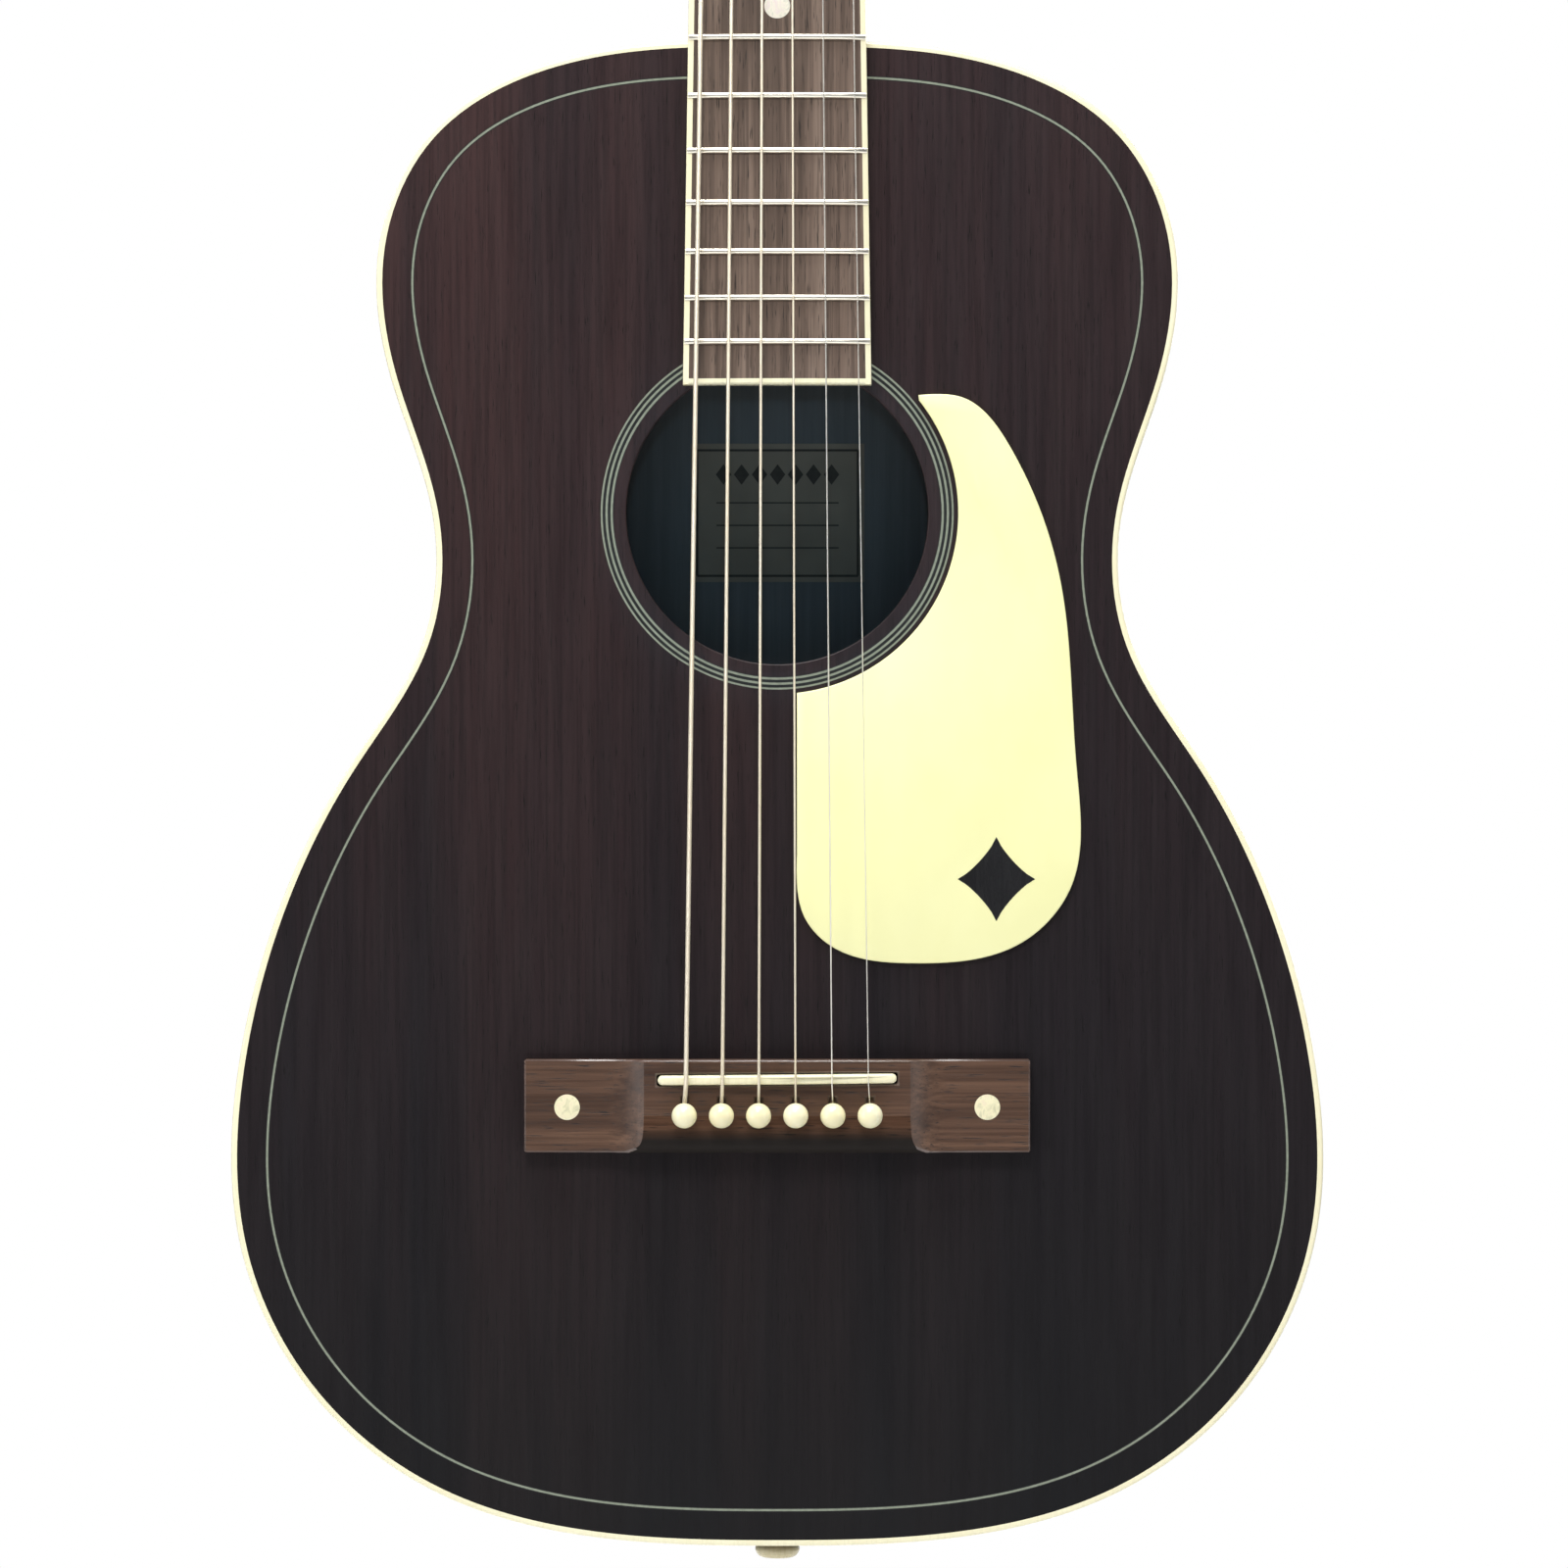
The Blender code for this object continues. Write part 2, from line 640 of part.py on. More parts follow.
def pickguard():
    """A plate beside the soundhole: an arc round the rosette, a straight edge along the strings, and
    one long curve down the outside and round the foot."""
    foot_and_outside = [
        (5.8 * MM, 214 * MM),
        (5.8 * MM, 205 * MM),
        (7.9 * MM, 195.5 * MM),
        (15.2 * MM, 187.2 * MM),
        (40 * MM, 181.7 * MM),
        (73 * MM, 188.4 * MM),
        (86 * MM, 203 * MM),
        (88.1 * MM, 240 * MM),
        (84 * MM, 291 * MM),
        (69.3 * MM, 332.5 * MM),
        (54.5 * MM, 348.3 * MM),
        (41.6 * MM, 349 * MM),
    ]
    curve = spline_through(foot_and_outside, 44, closed=False)
    tip, inner_x = curve[-1], foot_and_outside[0][0]
    arc_start = math.atan2(tip[1] - HOLE_Y, tip[0])
    arc_end = -math.acos(inner_x / PICKGUARD_ARC)
    steps = 20
    turns = (arc_start + (arc_end - arc_start) * i / steps for i in range(1, steps + 1))
    arc = [(PICKGUARD_ARC * math.cos(a), HOLE_Y + PICKGUARD_ARC * math.sin(a)) for a in turns]
    low = TOP_Z + SEAM
    prism("pickguard", [curve + arc], low, low + PICKGUARD_THICKNESS, "pickguard_plastic")


# ---------------------------------------------------------------- strap button and bridge


def strap_button():
    """A turned button pressed into the tail block: its flat end is the guitar's lowest face."""
    profile = [
        (0, 31 * MM),
        (2.8 * MM, 31 * MM),
        (3.6 * MM, TAIL_Y + GAP),
        (3.6 * MM, TAIL_Y - GAP),
        (5.6 * MM, TAIL_Y - GAP),
        (5.6 * MM, 8.2 * MM),
        (3.9 * MM, 6.4 * MM),
        (3.9 * MM, 5 * MM),
        (6.7 * MM, 3.2 * MM),
        (6.7 * MM, 2 * MM),
        (5 * MM, 0),
        (0, 0),
    ]
    mesh = turned_mesh("end_button", profile, sides=20)
    # The turning axis, local Z, points up the body, along the bench's Y.
    place("end_button", mesh, "cream_plastic", BENCH, Matrix.Rotation(-math.pi / 2, 4, "X"))


def bridge():
    """A rectangular bridge: a full-height middle that rolls off towards the tail, and thin scooped wings."""
    low = TOP_Z + GAP
    top = TOP_Z + BRIDGE_HEIGHT
    roll_start = BRIDGE_LOW_Y + 11 * MM
    roll_steps = 10
    roll = []
    for i in range(roll_steps + 1):
        share = i / roll_steps
        y = roll_start + share * (BRIDGE_LOW_Y - roll_start)
        roll.append((y, top - ROLL_DROP * (0.12 * share + 0.88 * share**6)))
    profile = [(BRIDGE_LOW_Y, low), (BRIDGE_HIGH_Y, low), (BRIDGE_HIGH_Y, top), *roll]
    mesh = prism_mesh("bridge", [profile], -BRIDGE_HALF_WIDTH, BRIDGE_HALF_WIDTH)
    # The profile's plane is the bench's YZ, and its thickness runs along X.
    mesh.transform(Matrix(((0, 0, 1, 0), (1, 0, 0, 0), (0, 1, 0, 0), (0, 0, 0, 1))))
    obj = place("bridge", mesh, "rosewood", BENCH)

    for word, side in (("bass", -1), ("treble", 1)):
        combine(obj, as_cutter(wing_scoop(f"scoop_{word}", side, low, top)))
    slot = block_mesh(
        "saddle_slot",
        (-SADDLE_HALF_LENGTH - GAP, -SADDLE_THICKNESS / 2 - GAP, TOP_Z + 4 * MM),
        (SADDLE_HALF_LENGTH + GAP, SADDLE_THICKNESS / 2 + GAP, top + MM),
    )
    combine(obj, as_cutter(place("saddle_slot", slot, None, BENCH, saddle_matrix())))
    combine(obj, PIN_DRILL)


def wing_scoop(name, side, low, top):
    """What is cut away above a wing: a block whose inner lower edge is round, so the wing sweeps up."""
    wing_z = TOP_Z + WING_HEIGHT
    radius = WING_SCOOP_RADIUS
    rise = top - wing_z
    end_angle = math.acos(1 - rise / radius)
    start_x = WING_START_X + radius * math.sin(end_angle)
    steps = 8
    loop = [(BRIDGE_HALF_WIDTH + MM, top + MM), (BRIDGE_HALF_WIDTH + MM, wing_z)]
    for i in range(steps + 1):
        angle = end_angle * i / steps
        loop.append((start_x - radius * math.sin(angle), wing_z + radius * (1 - math.cos(angle))))
    loop.append((WING_START_X, top + MM))
    mesh = prism_mesh(name, [[(side * x, z) for x, z in loop]], -BRIDGE_HIGH_Y - MM, -BRIDGE_LOW_Y + MM)
    # The loop's plane is the bench's XZ, and its thickness runs along -Y.
    mesh.transform(Matrix.Rotation(math.pi / 2, 4, "X"))
    return place(name, mesh, None, BENCH)


def saddle_matrix():
    """The saddle is set a little askew: the bass strings are longer."""
    return Matrix.Translation((0, SADDLE_Y, 0)) @ Matrix.Rotation(SADDLE_SLANT, 4, "Z")


def saddle():
    top = SADDLE_STRING_Z - SEAM
    low = TOP_Z + 4 * MM + GAP
    half = SADDLE_HALF_LENGTH
    steps = 10
    crest = [half - 2 * half * i / steps for i in range(steps + 1)]
    loop = [(-half, low), (half, low)] + [(x, top - crown(x)) for x in crest]
    mesh = prism_mesh("saddle", [loop], -SADDLE_THICKNESS / 2, SADDLE_THICKNESS / 2)
    mesh.transform(Matrix.Rotation(math.pi / 2, 4, "X"))
    place("saddle", mesh, "ivory_plastic", BENCH, saddle_matrix())


def bridge_pins():
    """Round-headed pins that wedge the strings into the bridge, each with a flute for its string."""
    collar_z = TOP_Z + BRIDGE_HEIGHT + GAP
    ball_z = collar_z + 0.6 * MM + PIN_HEAD_RADIUS * 0.86
    ball = []
    steps = 7
    for i in range(steps):
        angle = math.pi / 2 - math.radians(148) * i / (steps - 1)
        ball.append((PIN_HEAD_RADIUS * math.cos(angle), ball_z + PIN_HEAD_RADIUS * math.sin(angle)))
    ball[0] = (0, ball_z + PIN_HEAD_RADIUS)
    tip_z = collar_z - PIN_LENGTH
    profile = [
        *ball,
        (3.3 * MM, collar_z + 0.6 * MM),
        (3.3 * MM, collar_z),
        (PIN_SHAFT_RADIUS, collar_z),
        (PIN_SHAFT_RADIUS - 0.25 * MM, tip_z + MM),
        (1.4 * MM, tip_z),
        (0, tip_z),
    ]
    mesh = turned_mesh("bridge_pin", profile, sides=12)
    flute = block_mesh(
        "flute", (-1.05 * MM, 0.85 * MM, tip_z - MM), (1.05 * MM, 5 * MM, collar_z + 1.5 * MM)
    )
    for string in STRINGS:
        x = string_x(string, PIN_SPREAD)
        here = Matrix.Translation((x, PIN_Y, 0))
        pin = place(f"bridge_pin_{string}", mesh, "ivory_plastic", BENCH, here)
        combine(pin, as_cutter(place(f"flute_{string}", flute, None, BENCH, here)))


def pin_drill():
    """Cuts the six pin holes, each with a ramp that lets its string down from the saddle."""
    bodies = []
    for string in STRINGS:
        x = string_x(string, PIN_SPREAD)
        bodies.append(
            rod_mesh("hole", PIN_HOLE_RADIUS, 30 * MM, 70 * MM, sides=12, centre=(x, PIN_Y))
        )
    drill = place("pin_drill", joined_mesh("pin_drill", bodies), None, BENCH)
    ramps = []
    for string in STRINGS:
        x = string_x(string, PIN_SPREAD)
        low = (x - 1.05 * MM, PIN_Y, TOP_Z + BRIDGE_HEIGHT - 1.6 * MM)
        high = (x + 1.05 * MM, PIN_Y + 5.2 * MM, TOP_Z + BRIDGE_HEIGHT + 5 * MM)
        ramps.append(block_mesh("ramp", low, high))
    ramp = as_cutter(place("string_ramps", joined_mesh("string_ramps", ramps), None, BENCH))
    combine(drill, ramp, "UNION")
    return as_cutter(drill)


def button_drill():
    hole = rod_mesh("button_drill", 3.6 * MM + GAP, -20 * MM, 60 * MM, sides=20, axis="Y")
    return as_cutter(place("button_drill", hole, None, BENCH))


# ---------------------------------------------------------------- the neck


def back_curve(half, depth, squareness=0.0):
    """Half a turn from one front edge round the back to the other, as (x, depth below the front) points.
    It is an ellipse, or with squareness towards 1 nearly a rectangle."""
    steps = 12
    power = 0.88 * (1 - squareness) + 0.05 * squareness
    curve = []
    for i in range(steps + 1):
        angle = math.pi * i / steps
        cosine = math.copysign(abs(math.cos(angle)) ** power, math.cos(angle))
        curve.append((half * cosine, depth * math.sin(angle) ** power))
    return curve


def shaft_section(y):
    """The neck's cross section at y: flat in front, a full round behind."""
    share = (NUT_Y - y) / (NUT_Y - JOINT_Y)
    depth = SHAFT_DEPTH_AT_NUT + share * (SHAFT_DEPTH_AT_HEEL - SHAFT_DEPTH_AT_NUT)
    half = board_half_width(y) - 0.1 * MM
    return [(x, y, TOP_Z - deep) for x, deep in back_curve(half, depth)]


def head_section(u, half, squareness):
    """The cross section where the shaft turns into the head, square to the head's face."""
    curve = back_curve(half, HEAD_THICKNESS, squareness)
    return [from_head(x, u, -deep) for x, deep in curve]


def heel_section(z):
    """The heel's outline at one depth: straight against the body, half an ellipse away from it."""
    shaft_back = TOP_Z - SHAFT_DEPTH_AT_HEEL
    fillet = 34 * MM
    depth = min(max(shaft_back - z, 0), fillet)
    length = 19 * MM + fillet * (1 - math.sqrt(1 - ((fillet - depth) / fillet) ** 2))
    cap_z = JOINT_BACK_Z + HEEL_CAP_THICKNESS
    share = min(max((TOP_Z - 3 * MM - z) / (TOP_Z - 3 * MM - cap_z), 0), 1)
    full = board_half_width(JOINT_Y) - 0.1 * MM
    half = 11 * MM + (full - 11 * MM) * (1 - share) ** 1.7
    steps = 14
    outline = []
    for i in range(steps + 1):
        angle = math.pi * i / steps
        outline.append((half * math.cos(angle), JOINT_Y + GAP + length * math.sin(angle), z))
    return outline


def head_outline():
    """A plain paddle: neck width at the nut, a shoulder each side, then straight edges to a soft crown."""
    shoulder = spline_through(
        [(23.9 * MM, 11.4 * MM), (25.6 * MM, 14 * MM), (28.4 * MM, 19.5 * MM), (30 * MM, 28 * MM)], 9, False
    )
    crown_edge = spline_through(
        [(35.4 * MM, 151 * MM), (33.2 * MM, 158.5 * MM), (24 * MM, 163.8 * MM), (12 * MM, 166.2 * MM)],
        9,
        False,
    )
    treble = shoulder + crown_edge + [(0, 167 * MM)]
    return treble + [(-x, y) for x, y in reversed(treble[:-1])]


def neck():
    half_at_nut = BOARD_WIDTH_AT_NUT / 2 - 0.1 * MM
    sections = [shaft_section(y) for y in (JOINT_Y + GAP, NUT_Y - 14 * MM)]
    sections += [
        head_section(0, half_at_nut, 0.12),
        head_section(4 * MM, half_at_nut, 0.3),
        head_section(8 * MM, 22.3 * MM, 0.65),
        head_section(12 * MM, 24.4 * MM, 1),
    ]
    obj = place("neck", loft_mesh("neck", sections), "stained_mahogany", BENCH)
    cap_z = JOINT_BACK_Z + HEEL_CAP_THICKNESS + GAP
    shaft_back = TOP_Z - SHAFT_DEPTH_AT_HEEL
    depths = [TOP_Z, TOP_Z - 6 * MM, shaft_back + 4 * MM, shaft_back - 0.4 * MM]
    depths += [shaft_back - step * MM for step in (2, 5, 10, 17, 26, 34)]
    depths += [-20 * MM, cap_z]
    heel = place("heel", loft_mesh("heel", [heel_section(z) for z in depths]), None, BENCH)
    combine(obj, as_cutter(heel), "UNION")
    tenon = block(
        "tenon",
        (-TENON_HALF_WIDTH, JOINT_Y - TENON_LENGTH, TENON_LOW_Z),
        (TENON_HALF_WIDTH, JOINT_Y + 6 * MM, TENON_HIGH_Z - GAP),
    )
    combine(obj, as_cutter(tenon), "UNION")
    head = prism("head", [head_outline()], -HEAD_THICKNESS, 0, None, HEAD)
    combine(obj, as_cutter(head), "UNION")
    in_front = block("in_front", (-BIG, 0, TOP_Z), (BIG, HEAD_Y, TOP_Z + 60 * MM))
    combine(obj, as_cutter(in_front))
    channel = block(
        "rod_channel",
        (-ROD_HALF_WIDTH - GAP, ROD_START_Y - GAP, ROD_LOW_Z - GAP),
        (ROD_HALF_WIDTH + GAP, HEAD_Y + 3 * MM, TOP_Z + MM),
    )
    combine(obj, as_cutter(channel))
    pocket = block(
        "rod_pocket",
        (-5.2 * MM, HEAD_Y + 1.5 * MM, ROD_Z - 4.6 * MM),
        (5.2 * MM, HEAD_Y + 24 * MM, TOP_Z + MM),
    )
    combine(obj, as_cutter(pocket))
    holes = [
        rod_mesh("post_hole", POST_RADIUS + 0.8 * MM, -30 * MM, 10 * MM, sides=12, centre=post_place(string))
        for string in STRINGS
    ]
    combine(obj, as_cutter(place("post_holes", joined_mesh("post_holes", holes), None, HEAD)))


def heel_cap():
    level = JOINT_BACK_Z + HEEL_CAP_THICKNESS
    loop = [(x, y) for x, y, _ in heel_section(level)]
    prism("heel_cap", [loop], JOINT_BACK_Z, level, "cream_plastic")


ROD_HALF_WIDTH = 2.6 * MM
ROD_Z = TOP_Z - 7 * MM
ROD_LOW_Z = ROD_Z - 3.5 * MM
ROD_START_Y = JOINT_Y + 8 * MM
ROD_NUT_Y = HEAD_Y + 4 * MM
ROD_NUT_LENGTH = 9 * MM


def truss_rod():
    rod = block(
        "truss_rod",
        (-ROD_HALF_WIDTH, ROD_START_Y, ROD_LOW_Z),
        (ROD_HALF_WIDTH, HEAD_Y + 2 * MM, ROD_Z + 3.5 * MM),
        "steel",
    )
    stem = rod_mesh(
        "rod_stem", 1.7 * MM, HEAD_Y, ROD_NUT_Y + 5 * MM, sides=10, axis="Y", centre=(0, ROD_Z)
    )
    combine(rod, as_cutter(place("rod_stem", stem, None, BENCH)), "UNION")
    low, high = ROD_NUT_Y, ROD_NUT_Y + ROD_NUT_LENGTH
    profile = [(1.9 * MM, high), (3.4 * MM, high), (3.4 * MM, low), (1.9 * MM, low), (1.9 * MM, high)]
    mesh = turned_mesh("truss_rod_nut", profile, sides=12)
    # Local Z, the nut's own axis, lies along the neck.
    matrix = Matrix.Translation((0, 0, ROD_Z)) @ Matrix.Rotation(-math.pi / 2, 4, "X")
    place("truss_rod_nut", mesh, "steel", BENCH, matrix)


def truss_rod_cover():
    """A bell-shaped plate over the adjusting nut."""
    waist = [(11 * MM, 8 * MM), (8.2 * MM, 16 * MM), (5.6 * MM, 26 * MM), (4.6 * MM, 35 * MM), (0, 39.5 * MM)]
    treble = [(11 * MM, 0.5 * MM)] + spline_through(waist, 12, closed=False)
    loop = treble + [(-x, y) for x, y in reversed(treble[:-1])]
    prism("truss_rod_cover", [loop], GAP, GAP + 1.6 * MM, "black_plastic", HEAD)


# ---------------------------------------------------------------- fingerboard, frets and nut


def round_top(name, lower):
    """What stays of a board under the fingerboard's round top, lowered by a little for the binding."""
    half = BOARD_WIDTH_AT_END
    steps = 16
    xs = [half - 2 * half * i / steps for i in range(steps + 1)]
    loop = [(-half, 0), (half, 0)] + [(x, TOP_Z + BOARD_THICKNESS - lower - crown(x)) for x in xs]
    mesh = prism_mesh(name, [loop], -NUT_Y - 20 * MM, -BOARD_END_Y + 20 * MM)
    mesh.transform(Matrix.Rotation(math.pi / 2, 4, "X"))
    return as_cutter(place(name, mesh, None, BENCH))


def fingerboard():
    """The board with its frets pressed in. The frets' ends run out over the binding."""
    low = TOP_Z + GAP
    end_y = BOARD_END_Y + BOARD_BINDING + SEAM
    inset = BOARD_BINDING + SEAM
    loop = [
        (board_half_width(end_y) - inset, end_y),
        (board_half_width(NUT_Y) - inset, NUT_Y),
        (-board_half_width(NUT_Y) + inset, NUT_Y),
        (-board_half_width(end_y) + inset, end_y),
    ]
    board = prism("fingerboard", [loop], low, TOP_Z + BOARD_THICKNESS + MM, "rosewood")
    combine(board, round_top("board_top", 0), "INTERSECT")
    frets = joined_mesh("frets", [fret_mesh(number) for number in range(1, FRET_COUNT + 1)])
    combine(board, as_cutter(place("frets", frets, None, BENCH)), "UNION")


def fret_mesh(number):
    y = fret_y(number)
    half = board_half_width(y) - 0.4 * MM
    steps = 4
    xs = [half - 2 * half * i / steps for i in range(steps + 1)]
    surface = TOP_Z + BOARD_THICKNESS
    loop = [(x, surface + FRET_HEIGHT - crown(x)) for x in xs]
    loop += [(x, surface - 0.15 * MM - crown(x)) for x in reversed(xs)]
    mesh = prism_mesh(f"fret_{number}", [loop], -y - FRET_WIDTH / 2, -y + FRET_WIDTH / 2)
    mesh.transform(Matrix.Rotation(math.pi / 2, 4, "X"))
    return mesh


def fingerboard_binding():
    outer = [(board_half_width(BOARD_END_Y), BOARD_END_Y), (board_half_width(NUT_Y), NUT_Y)]
    inner_end = BOARD_END_Y + BOARD_BINDING
    inner = [
        (board_half_width(NUT_Y) - BOARD_BINDING, NUT_Y),
        (board_half_width(inner_end) - BOARD_BINDING, inner_end),
    ]
    treble = outer + inner
    loop = treble + [(-x, y) for x, y in reversed(treble)]
    strip = prism(
        "fingerboard_binding", [loop], TOP_Z + GAP, TOP_Z + BOARD_THICKNESS + MM, "cream_plastic"
    )
    combine(strip, round_top("binding_top", 0.35 * MM), "INTERSECT")


def nut():
    """The nut, with a slot for each string."""
    half = BOARD_WIDTH_AT_NUT / 2
    slot_floor = TOP_Z + BOARD_THICKNESS + FRET_HEIGHT + NUT_ACTION
    steps = 10
    xs = [half - 2 * half * i / steps for i in range(steps + 1)]
    loop = [(-half, TOP_Z + GAP), (half, TOP_Z + GAP)]
    loop += [(x, slot_floor + 0.9 * MM - crown(x)) for x in xs]
    mesh = prism_mesh("nut", [loop], -NUT_Y - GAP - NUT_LENGTH, -NUT_Y - GAP)
    mesh.transform(Matrix.Rotation(math.pi / 2, 4, "X"))
    obj = place("nut", mesh, "ivory_plastic", BENCH)
    slots = []
    for string, diameter in zip(STRINGS, STRING_DIAMETERS):
        x = string_x(string, STRING_SPREAD_AT_NUT)
        wide = diameter / 2 + 0.15 * MM
        low = (x - wide, NUT_Y - MM, slot_floor - GAP - crown(x))
        slots.append(block_mesh("slot", low, (x + wide, NUT_Y + 10 * MM, slot_floor + 9 * MM)))
    combine(obj, as_cutter(place("nut_slots", joined_mesh("nut_slots", slots), None, BENCH)))


# ---------------------------------------------------------------- tuners


def post_place(string):
    """The post's (x, u) on the head. The outer strings take the posts nearest the nut."""
    side = 1 if string <= 3 else -1
    step = string - 1 if string <= 3 else 6 - string
    return (side * POST_X, FIRST_POST_U + step * POST_PITCH)


def gear_loop():
    """Straight-sided teeth, thinned for backlash. One tooth points towards the worm, along -u."""
    pitch_radius = GEAR_TEETH * GEAR_MODULE / 2
    tip = pitch_radius + 0.65 * MM
    root = pitch_radius - 0.95 * MM
    loop = []
    for tooth in range(GEAR_TEETH):
        middle = -math.pi / 2 + 2 * math.pi * tooth / GEAR_TEETH
        for radius, half_width in ((root, 0.72 * MM), (tip, 0.26 * MM)):
            loop.append((radius, middle - half_width / radius))
        for radius, half_width in ((tip, 0.26 * MM), (root, 0.72 * MM)):
            loop.append((radius, middle + half_width / radius))
    return [(radius * math.cos(angle), radius * math.sin(angle)) for radius, angle in loop]


def string_posts():
    """Posts that the strings wind on, each with its gear behind the head."""
    top = 17 * MM
    bottom = WORM_N - GEAR_THICKNESS / 2 - 1.4 * MM
    profile = [
        (0, top),
        (POST_RADIUS - 0.6 * MM, top),
        (POST_RADIUS, top - 0.8 * MM),
        (POST_RADIUS, top - 2.6 * MM),
        (POST_WAIST_RADIUS, top - 3.4 * MM),
        (POST_WAIST_RADIUS, 7.5 * MM),
        (POST_RADIUS, 6.5 * MM),
        (POST_RADIUS, bottom + 0.6 * MM),
        (POST_RADIUS - 0.5 * MM, bottom),
        (0, bottom),
    ]
    mesh = turned_mesh("string_post", profile, sides=10)
    gear = prism_mesh("gear", [gear_loop()], WORM_N - GEAR_THICKNESS / 2, WORM_N + GEAR_THICKNESS / 2)
    hole = rod_mesh("string_hole", 0.85 * MM, -6 * MM, 6 * MM, sides=8, axis="X", centre=(0, POST_HOLE_N))
    for string in STRINGS:
        here = Matrix.Translation((*post_place(string), 0))
        post = place(f"tuner_post_{string}", mesh, "nickel", HEAD, here)
        combine(post, as_cutter(place(f"gear_{string}", gear, None, HEAD, here)), "UNION")
        combine(post, as_cutter(place(f"string_hole_{string}", hole, None, HEAD, here)))


def worm_thread_mesh():
    """A right-handed thread along local Z, one gap centred at the origin on the +X side."""
    turns = 3
    root, tip = WORM_PITCH_RADIUS - 1.15 * MM, WORM_PITCH_RADIUS + 0.65 * MM
    start = -WORM_PITCH * turns / 2
    profile = [(root, -0.8), (tip, -0.26), (tip, 0.26), (root, 0.8)]
    bm = bmesh.new()
    points = [bm.verts.new((radius, 0, start + height * MM)) for radius, height in profile]
    for i, point in enumerate(points):
        bm.edges.new((point, points[(i + 1) % len(points)]))
    mesh = bpy.data.meshes.new("worm_profile")
    bm.to_mesh(mesh)
    bm.free()
    turned = bpy.data.objects.new("worm_thread", mesh)
    PARTS.objects.link(turned)
    screw = turned.modifiers.new("thread", "SCREW")
    screw.steps = screw.render_steps = 8
    screw.iterations = turns
    screw.screw_offset = WORM_PITCH
    thread = evaluated_mesh(turned)
    bpy.data.objects.remove(turned)
    bm = bmesh.new()
    bm.from_mesh(thread)
    bmesh.ops.holes_fill(bm, edges=[edge for edge in bm.edges if edge.is_boundary])
    bmesh.ops.recalc_face_normals(bm, faces=bm.faces)
    bm.to_mesh(thread)
    bm.free()
    return thread


def knob_matrix(string):
    """Local Z runs outward along the worm's axis, and local X faces the gear, up the head."""
    x, u = post_place(string)
    outward = Vector((math.copysign(1, x), 0, 0))
    to_gear = Vector((0, 1, 0))
    matrix = Matrix((to_gear, outward.cross(to_gear), outward)).transposed().to_4x4()
    matrix.translation = (x, u - WORM_DISTANCE, WORM_N)
    return matrix


def tuner_knobs():
    """Each knob with its shaft and worm, in one piece."""
    shaft = [
        (0, 24 * MM),
        (2.1 * MM, 24 * MM),
        (2.1 * MM, 17.5 * MM),
        (1.4 * MM, 16.9 * MM),
        (1.4 * MM, 5.6 * MM),
        (1.7 * MM, 5.2 * MM),
        (1.7 * MM, -5.2 * MM),
        (1.4 * MM, -5.6 * MM),
        (1.4 * MM, -8 * MM),
        (0, -8 * MM),
    ]
    mesh = turned_mesh("knob_shaft", shaft, sides=10)
    thread = worm_thread_mesh()
    bm = bmesh.new()
    bmesh.ops.create_uvsphere(bm, u_segments=12, v_segments=7, radius=1)
    bm.transform(Matrix.Translation((0, 0, 25.5 * MM)) @ Matrix.Diagonal((8.6 * MM, 4.1 * MM, 6.4 * MM, 1)))
    grip = bpy.data.meshes.new("grip")
    bm.to_mesh(grip)
    bm.free()
    for string in STRINGS:
        here = knob_matrix(string)
        knob = place(f"tuner_knob_{string}", mesh, "ivory_plastic", HEAD, here)
        combine(knob, as_cutter(place(f"worm_{string}", thread, None, HEAD, here)), "UNION")
        combine(knob, as_cutter(place(f"grip_{string}", grip, None, HEAD, here)), "UNION")


def tuner_plates():
    """One strip each side of the head's back, with two bearing lugs for every worm shaft."""
    front = -HEAD_THICKNESS - GAP
    behind = front - PLATE_THICKNESS
    for word, side in (("treble", 1), ("bass", -1)):
        x_low, x_high = sorted((side * (POST_X - 8.2 * MM), side * (POST_X + 8.2 * MM)))
        low_u = FIRST_POST_U - WORM_DISTANCE - 9 * MM
        high_u = FIRST_POST_U + 2 * POST_PITCH + 11 * MM
        plate = block(
            f"tuner_plate_{word}", (x_low, low_u, behind), (x_high, high_u, front), "nickel", HEAD
        )
        lugs = []
        holes = []
        for step in range(3):
            post_u = FIRST_POST_U + step * POST_PITCH
            worm_u = post_u - WORM_DISTANCE
            for offset in (-7.4 * MM, 5.8 * MM):
                inner = side * POST_X + side * offset
                outer = inner + side * 1.4 * MM
                near, far = sorted((inner, outer))
                low = (near, worm_u - 3.2 * MM, WORM_N - 2.6 * MM)
                lugs.append(block_mesh("lug", low, (far, worm_u + 3.2 * MM, behind + 0.6 * MM)))
            centre = (worm_u, WORM_N)
            x_from, x_to = sorted((side * 5 * MM, side * 35 * MM))
            holes.append(rod_mesh("bearing", 1.6 * MM, x_from, x_to, sides=10, axis="X", centre=centre))
            at = (side * POST_X, post_u)
            holes.append(rod_mesh("clearance", POST_RADIUS + 0.4 * MM, -30 * MM, 0, sides=12, centre=at))
        lugs = place(f"lugs_{word}", joined_mesh("lugs", lugs), None, HEAD)
        combine(plate, as_cutter(lugs), "UNION")
        holes = place(f"bearings_{word}", joined_mesh("bearings", holes), None, HEAD)
        combine(plate, as_cutter(holes))


# ---------------------------------------------------------------- strings


def from_head(x, u, n):
    """A point on the head, in bench coordinates."""
    sine, cosine = math.sin(HEAD_TILT), math.cos(HEAD_TILT)
    return (x, HEAD_Y + u * cosine + n * sine, TOP_Z - u * sine + n * cosine)


